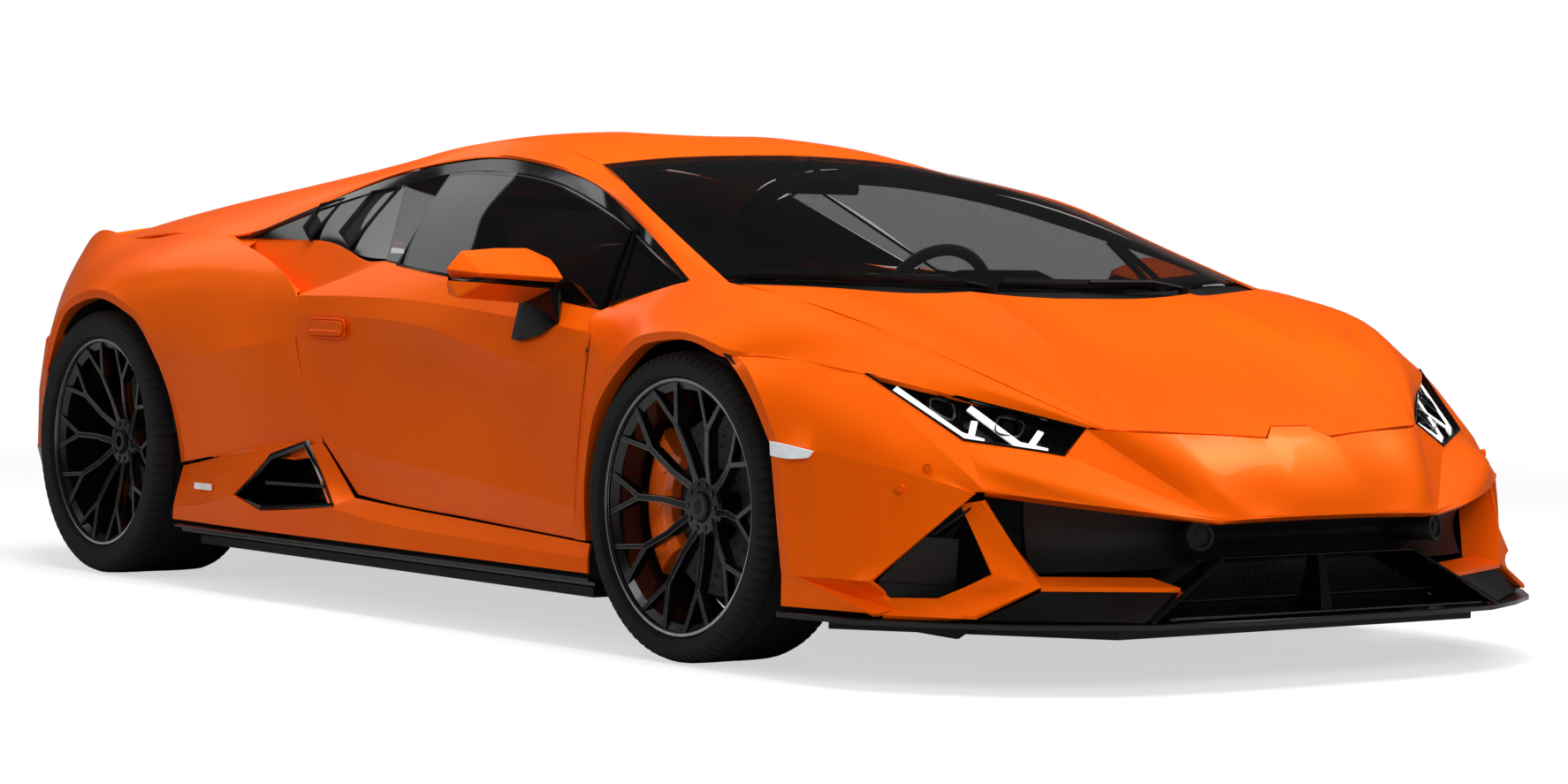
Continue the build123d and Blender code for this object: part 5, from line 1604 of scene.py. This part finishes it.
def doorLining():
    # inner half of the thick door: a moulded card with an armrest, closed to the outer skin round its edge
    rows = [
        [(838, 846, 728), (640, 846, 752), (400, 844, 777), (120, 831, 802), (-130, 806, 826)],
        [(840, 838, 700), (640, 812, 724), (400, 806, 748), (60, 796, 766), (-200, 786, 780)],
        [(846, 830, 560), (640, 806, 580), (400, 800, 600), (40, 800, 610), (-330, 800, 610)],
        [(846, 832, 460), (640, 812, 470), (400, 806, 480), (40, 806, 490), (-300, 812, 500)],
        [(846, 836, 250), (640, 826, 258), (400, 822, 266), (120, 820, 278), (-90, 822, 292)],
    ]
    card = sheet(rows, thickness=6, cellSize=30, inside=(0.3, 0.9, 0.5))
    arm = hullPart([(520, 806, 560), (-120, 800, 590), (520, 806, 520), (-120, 800, 540),
                    (480, 752, 556), (-60, 752, 584), (480, 758, 530), (-60, 758, 552)])
    edges = []
    for outer, inner, (stepX, stepZ) in zip(edgesOf(doorRows), edgesOf(rows),
                                            ((0, -7), (0, 7), (-8, 0), (8, 0))):
        drawnIn = [(x + stepX, y - 8, z + stepZ) for x, y, z in spread(outer, len(inner))]
        edges.append(sheet([drawnIn, inner], thickness=4, cellSize=40, inside=(0.3, 0.86, 0.5)))
    return joinParts([card, arm] + edges)


addToDoors("doorLining", doorLining(), blackLeather, sharpAngle=50)
headliner = wholeSheet([[(x - 4, y * 0.97, z - 22) for x, y, z in row] for row in roofRows], thickness=6,
                       cellSize=40, inside=(0, 0, 0.5))
addPiece("headliner", headliner, suede)

print("rear")
rearLook = {
    "exhaustY": 250,
    "exhaustZ": 520,
    "skin": 7,
    "meshCell": 34,
    "meshWire": 4.8,
    "slats": 6,  # over the engine, and how far apart
    "slatPitch": 175,
}
meshEdge = [[(-2150, 0, 850), (-2190, 0, 740), (-2205, 0, 615)],
            [(-2140, 350, 848), (-2180, 350, 740), (-2195, 350, 615)],
            [(-2092, 618, 835), (-2108, 640, 720), (-2112, 688, 618)]]
spoilerRows = [
    [(-1985, 0, 890), (-2080, 0, 897), (-2150, 0, 912), (-2198, 0, 926)],
    [(-1985, 280, 886), (-2080, 290, 893), (-2142, 296, 907), (-2188, 300, 920)],
    [(-1990, 600, 872), (-2060, 598, 864), (-2095, 590, 872), (-2130, 572, 886)],
]
spoiler = wholeSheet(spoilerRows, thickness=9, inside=(-2, 0, 0.5))
spoilerEnds = [row[-1] for row in spoilerRows]
lipFace = wholeSheet([[(x, y, z), (x + 22, y * 0.99, z - 42)] for x, y, z in spoilerEnds],
                     inside=(-2, 0, 0.8))
addSkin("rearSpoiler", joinParts([spoiler, lipFace]), "rear_spoiler")
meshBacking = wholeSheet([[(x + 34, y, z) for x, y, z in row] for row in meshEdge], thickness=5, cellSize=40,
                         inside=(-1.9, 0, 0.7))
addPiece("rearGrilleBacking", meshBacking, mouldedBlack, "chassis", "rear_grille")


def rearMesh():
    # wires bent to the grille's curve
    rows = np.array(meshEdge, float)
    ys, cell = rows[:, 0, 1], rearLook["meshCell"]

    def onGrille(y, z):
        i = 0 if abs(y) < ys[1] else 1
        mix = min(1, (abs(y) - ys[i]) / (ys[i + 1] - ys[i]))
        line = rows[i] * (1 - mix) + rows[i + 1] * mix
        return (float(np.interp(z, line[::-1, 2], line[::-1, 0])) + 8, y, z)

    return honeycomb(cell, rearLook["meshWire"] / 2, 628, int(226 / (cell * 0.75)), 17,
                     lambda y, z: abs(y) <= 470 and z <= 826, onGrille)


addPiece("rearGrilleMesh", rearMesh(), mouldedBlack)


def tailLamp():
    # Y-shaped lamp: one arm in from the corner, one up and one down, each a raised prism
    middle, back = Vector((-2146, 560, 752)), Vector((-16, 0, 0))
    parts = []
    for tip in (Vector((-2094, 632, 806)), Vector((-2102, 652, 706)), Vector((-2172, 402, 752))):
        along = tip - middle
        up = Vector((0, -along.z, along.y)).normalized() * 12
        parts.append(hullPart([spot + step + side * up * share for spot, step, share in (
            (middle, Vector(), 1), (middle, back, 0.6), (tip, Vector(), 0.7), (tip, back, 0.3))
            for side in (1, -1)]))
    return joinParts(parts)


addPiece("tailLampGuides", bothSides(tailLamp()), rubyLens, "chassis", "tail_lamps", bevel=2)
surround = joinParts([
    tubePart([(-2100, 618, 834), (-2150, 520, 842), (-2160, 350, 846)], 7, 6),
    facet([(-2082, 626, 838), (-2092, 668, 700), (-2150, 560, 690), (-2140, 540, 832)], 6,
          (-1.9, 0.5, 0.75))])
addPiece("tailLampHousings", bothSides(surround), pianoBlack, bevel=1)


def rearPanelPart():
    # the middle of the rear bumper: a recess for the plate between two orange shoulders
    upper = [[(-2205, 0, 615), (-2222, 0, 590), (-2226, 0, 560)],
             [(-2205, 180, 615), (-2222, 180, 590), (-2226, 180, 560)],
             [(-2200, 400, 614), (-2218, 400, 588), (-2222, 400, 556)],
             [(-2196, 560, 612), (-2208, 560, 580), (-2214, 560, 470)]]
    lower = [[(-2226, 0, 470), (-2224, 0, 440), (-2226, 0, 424)],
             [(-2226, 180, 470), (-2224, 180, 440), (-2226, 180, 424)],
             [(-2222, 400, 480), (-2222, 400, 450), (-2224, 400, 424)],
             [(-2214, 560, 470), (-2220, 560, 440), (-2222, 560, 424)]]
    return joinParts([wholeSheet(rows, thickness=rearLook["skin"], inside=(-1.9, 0, 0.5))
                      for rows in (upper, lower)])


addSkin("rearPanel", rearPanelPart(), ())
recessEnd = hullPart([(-2224, 400, 480), (-2224, 408, 556), (-2196, 420, 566), (-2196, 420, 470),
                      (-2220, 560, 470), (-2212, 560, 552), (-2196, 566, 552), (-2196, 566, 470)])
recess = joinParts([boxPart((-2200, -420, 470), (-2196, 420, 566)), bothSides(recessEnd)])
addPiece("plateRecess", recess, mouldedBlack, bevel=1)
addPiece("blankPlateHolder", boxPart((-2206, -170, 478), (-2201, 170, 560)), pianoBlack, bevel=1.5)


def exhaustTip():
    y, z = rearLook["exhaustY"], rearLook["exhaustZ"]
    sleeve = cylinderPart((-2110, y, z), (-2244, y, z), 53, 48, 54.5, 47)
    turns = [k * pi / 24 for k in range(48)]
    roll = tubePart([(-2246, y + 51 * cos(turn), z + 51 * sin(turn)) for turn in turns], 3.6, 6,
                    closed=True)
    core = cylinderPart((-2120, y, z), (-2180, y, z), 46, 32, bore=40)
    return joinParts([sleeve, roll, core])


addPiece("exhaustTips", bothSides(exhaustTip()), polishedSteel, "chassis", "exhaust_tips")


def diffuserPart():
    # tray rising to the rear with upright fins, and a lip across its end
    rows = [[(x, y, z) for x, z in zip(xs, (128, 190, 292, 330, 416))] for y, xs in (
        (0, (-1890, -2060, -2225, -2248, -2250)), (420, (-1890, -2060, -2222, -2246, -2248)),
        (558, (-1890, -2060, -2214, -2236, -2240)))]
    tray = wholeSheet(rows, creaseColumns=(2, 3), thickness=8, inside=(-1.8, 0, 0.6))
    finOutline = ((-1960, 128), (-2228, 130), (-2244, 170), (-2234, 300), (-2000, 160))
    fins = [hullPart([(x, side, z) for side in (y - 4, y + 4) for x, z in finOutline])
            for y in (-440, -300, -150, 0, 150, 300, 440)]
    ends = hullPart([(-1900, 552, 128), (-2228, 548, 132), (-2250, 546, 200), (-2236, 556, 418),
                     (-2190, 560, 418), (-1900, 560, 150), (-1900, 560, 128), (-2228, 560, 132),
                     (-2240, 560, 418)])
    return joinParts([tray, bothSides(ends)] + fins)


addPiece("rearDiffuser", diffuserPart(), mouldedBlack, "chassis", "rear_diffuser", bevel=1)


def rearCorner():
    # the black corner behind the wheel and the slatted air outlet over it
    corner = sheet([[(-1745, 920, 302), (-1922, 845, 302), (-2121, 748, 302), (-2230, 560, 302)],
                    [(-1748, 914, 228), (-1918, 834, 222), (-2106, 726, 216), (-2230, 552, 206)]],
                   thickness=rearLook["skin"], inside=(-1.5, 0.4, 0.3))
    outlet = [(-2116, 742, 470), (-2126, 732, 330), (-2204, 600, 330), (-2200, 596, 470)]
    outletBack = facet([(x + 4, y - 2, z) for x, y, z in outlet], 5, (-1.8, 0.4, 0.4))
    slats = [tubePart([between(outlet[0], outlet[1], s), between(outlet[3], outlet[2], s)], 4, 6)
             for s in (0.25, 0.5, 0.75)]
    return joinParts([corner, tubePart(outlet, 6, 6, closed=True), outletBack] + slats)


addPiece("rearCornerPieces", bothSides(rearCorner()), pianoBlack, bevel=1)
# rear reflectors in the tail lens's material, with its painted red glow
reflector = hullPart([(-2222, 500, 448), (-2220, 440, 448), (-2222, 500, 462), (-2220, 440, 462),
                      (-2229, 496, 450), (-2228, 444, 450), (-2229, 496, 460), (-2228, 444, 460)])
addPiece("rearReflectors", bothSides(reflector), rubyLens)


def coverLouvres():
    # raised black slats across the middle of the engine cover, seated on its centre line
    coverX, _, coverZ = zip(*engineCoverRows[0])
    parts = []
    for k in range(rearLook["slats"]):
        x = -700 - rearLook["slatPitch"] * k
        z = float(np.interp(-x, [-c for c in coverX], coverZ))
        half = 250 + 14 * k
        parts.append(hullPart([(x + back, side * (half + wide), z + lift) for back, wide, lift in (
            (0, 0, -2), (-96, 8, -22), (0, 0, 5), (-90, 8, 3)) for side in (-1, 1)]))
    return joinParts(parts)


addPiece("coverSlats", coverLouvres(), mouldedBlack, "engine_cover", bevel=2)

print("finishes on the plain pieces")
plainFinish = {
    "engine_block": castAluminium, "front_suspension": forgedSteel, "rear_suspension": forgedSteel,
    "front_structure": castAluminium, "rear_structure": castAluminium, "front_splitter": pianoBlack,
    "side_vents": pianoBlack, "cabin_tub": suede,
}
for nodeName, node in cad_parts.items():
    if node.hide_render:
        continue
    node.data.materials.clear()
    node.data.materials.append(plainFinish.get(nodeName, mouldedBlack))

print("studio")
studio = {
    "cameraPlace": (7.93108, -5.63836, 0.84836),
    "headingDegrees": 143.306,  # turned left from +X
    "pitchDegrees": -1.944,
    "rollDegrees": 0.789,
    "lensMm": 89.84,
    "floorColour": "#8C8C8C",  # as the car sees it; the camera sees the pale one
    "floorSeen": "#F4F4F4",
    "floorGlow": 0.6,  # share of plain white in the floor beside the car
    "glowFrom": 3.2,  # from here to there, in metres from the car, the floor fades to white
    "glowTo": 8.0,
    "skyLight": 0.42,  # strength of the room's white light on matt surfaces
    "reflectedRoom": 0.04,  # how bright the room looks in polished surfaces, above its pale horizon
    "reflectedHorizon": 0.3,
    # name, place, what it is aimed at, size, watts and whether paint mirrors it
    "lamps": (
        ("overheadSoftbox", (0.3, 0, 4.6), (0.3, 0, 0), (6.0, 3.0), 420, False),
        ("frontSoftbox", (7.5, -2.0, 3.4), (0.8, 0, 0.5), (3.5, 2.0), 270, False),
        ("sideSoftbox", (-3.0, -6.5, 2.6), (-0.5, 0, 0.5), (4.0, 1.6), 62, False),
        ("sideStrip", (-2.5, -5.5, 3.4), (-0.5, 0, 0.5), (6.0, 0.4), 40, True),
        ("backSoftbox", (-7.0, -0.5, 4.7), (0, 0, 0.6), (4.4, 1.2), 20, True),
        ("leftSoftbox", (2.6, 4.6, 6.2), (1.8, 0, 0.4), (3.0, 1.2), 110, True),
    ),
}


def placeCamera():
    yaw, pitch, roll = (radians(studio[k]) for k in ("headingDegrees", "pitchDegrees", "rollDegrees"))
    forward = Vector((cos(pitch) * cos(yaw), cos(pitch) * sin(yaw), sin(pitch)))
    right = forward.cross(Vector((0, 0, 1))).normalized()
    up = right.cross(forward)
    right, up = cos(roll) * right + sin(roll) * up, -sin(roll) * right + cos(roll) * up
    camera = bpy.data.objects.new("camera", bpy.data.cameras.new("camera"))
    camera.data.sensor_fit = "HORIZONTAL"
    camera.data.sensor_width = 36
    camera.data.lens = studio["lensMm"]
    camera.matrix_world = Matrix.Translation(studio["cameraPlace"]) @ Matrix(
        (right, up, -forward)).transposed().to_4x4()
    bpy.context.scene.collection.objects.link(camera)
    bpy.context.scene.camera = camera


def softbox(name, place, aim, size, power, mirrored):
    lamp = bpy.data.lights.new(name, "AREA")
    lamp.shape = "RECTANGLE"
    lamp.size, lamp.size_y = size
    lamp.energy = power
    holder = bpy.data.objects.new(name, lamp)
    holder.location = place
    holder.visible_glossy = mirrored
    holder.rotation_euler = (Vector(aim) - Vector(place)).to_track_quat("-Z", "Y").to_euler()
    bpy.context.scene.collection.objects.link(holder)


def makeFloor():
    work = bmesh.new()
    bmesh.ops.create_circle(work, cap_ends=True, segments=96, radius=60)
    mesh = bpy.data.meshes.new("studioFloor")
    work.to_mesh(mesh)
    work.free()
    floor = bpy.data.objects.new("studioFloor", mesh)
    bpy.context.scene.collection.objects.link(floor)
    material = bpy.data.materials.new("palePaintedFloor")
    material.use_nodes = True
    tree = material.node_tree
    tree.nodes.clear()
    place = addNode(tree, "ShaderNodeNewGeometry")
    distance = addNode(tree, "ShaderNodeVectorMath", {"operation": "LENGTH"}, {0: (place, "Position")})
    fade = addNode(tree, "ShaderNodeMapRange", {
        "From Min": studio["glowFrom"], "From Max": studio["glowTo"], "To Min": studio["floorGlow"],
    }, {"Value": (distance, "Value")})
    path = addNode(tree, "ShaderNodeLightPath")
    seen = addNode(tree, "ShaderNodeMath", {"operation": "MULTIPLY"},
                   {0: (fade, "Result"), 1: (path, "Is Camera Ray")})
    tone = addNode(tree, "ShaderNodeMix", {"data_type": "RGBA"}, {0: (path, "Is Camera Ray")})
    tone.inputs[6].default_value = linear(studio["floorColour"])
    tone.inputs[7].default_value = linear(studio["floorSeen"])
    matt = addNode(tree, "ShaderNodeBsdfDiffuse")
    tree.links.new(tone.outputs[2], matt.inputs["Color"])
    white = addNode(tree, "ShaderNodeEmission", {"Color": (1, 1, 1, 1), "Strength": 1.0})
    mix = addNode(tree, "ShaderNodeMixShader",
                  links={0: (seen, "Value"), 1: (matt, "BSDF"), 2: (white, "Emission")})
    addNode(tree, "ShaderNodeOutputMaterial", links={"Surface": (mix, "Shader")})
    floor.data.materials.append(material)


def makeWorld():
    # white to the camera and through glass; in polished surfaces a dim room over a pale horizon
    world = bpy.data.worlds.new("studioWorld")
    bpy.context.scene.world = world
    world.use_nodes = True
    tree = world.node_tree
    tree.nodes.clear()
    path = addNode(tree, "ShaderNodeLightPath")
    seen = addNode(tree, "ShaderNodeMath", {"operation": "MAXIMUM"},
                   {0: (path, "Is Camera Ray"), 1: (path, "Is Transmission Ray")})
    place = addNode(tree, "ShaderNodeTexCoord")
    height = addNode(tree, "ShaderNodeSeparateXYZ", links={"Vector": (place, "Generated")})
    fade = addNode(tree, "ShaderNodeMapRange", {
        "From Min": 0.0, "From Max": 0.22, "To Min": studio["reflectedHorizon"],
        "To Max": studio["reflectedRoom"], "interpolation_type": "SMOOTHSTEP"}, {"Value": (height, "Z")})
    dim = addNode(tree, "ShaderNodeBackground", {"Color": (1, 1, 1, 1), "Strength": studio["skyLight"]})
    room = addNode(tree, "ShaderNodeBackground", {"Color": (1, 1, 1, 1)}, {"Strength": (fade, "Result")})
    white = addNode(tree, "ShaderNodeBackground", {"Color": (1, 1, 1, 1), "Strength": 1.0})
    mirror = addNode(tree, "ShaderNodeMixShader",
                     links={0: (path, "Is Glossy Ray"), 1: (dim, "Background"), 2: (room, "Background")})
    mix = addNode(tree, "ShaderNodeMixShader",
                  links={0: (seen, "Value"), 1: (mirror, "Shader"), 2: (white, "Background")})
    addNode(tree, "ShaderNodeOutputWorld", links={"Surface": (mix, "Shader")})


placeCamera()
makeFloor()
makeWorld()
for lamp in studio["lamps"]:
    softbox(*lamp)
bpy.context.scene.view_settings.view_transform = "Standard"
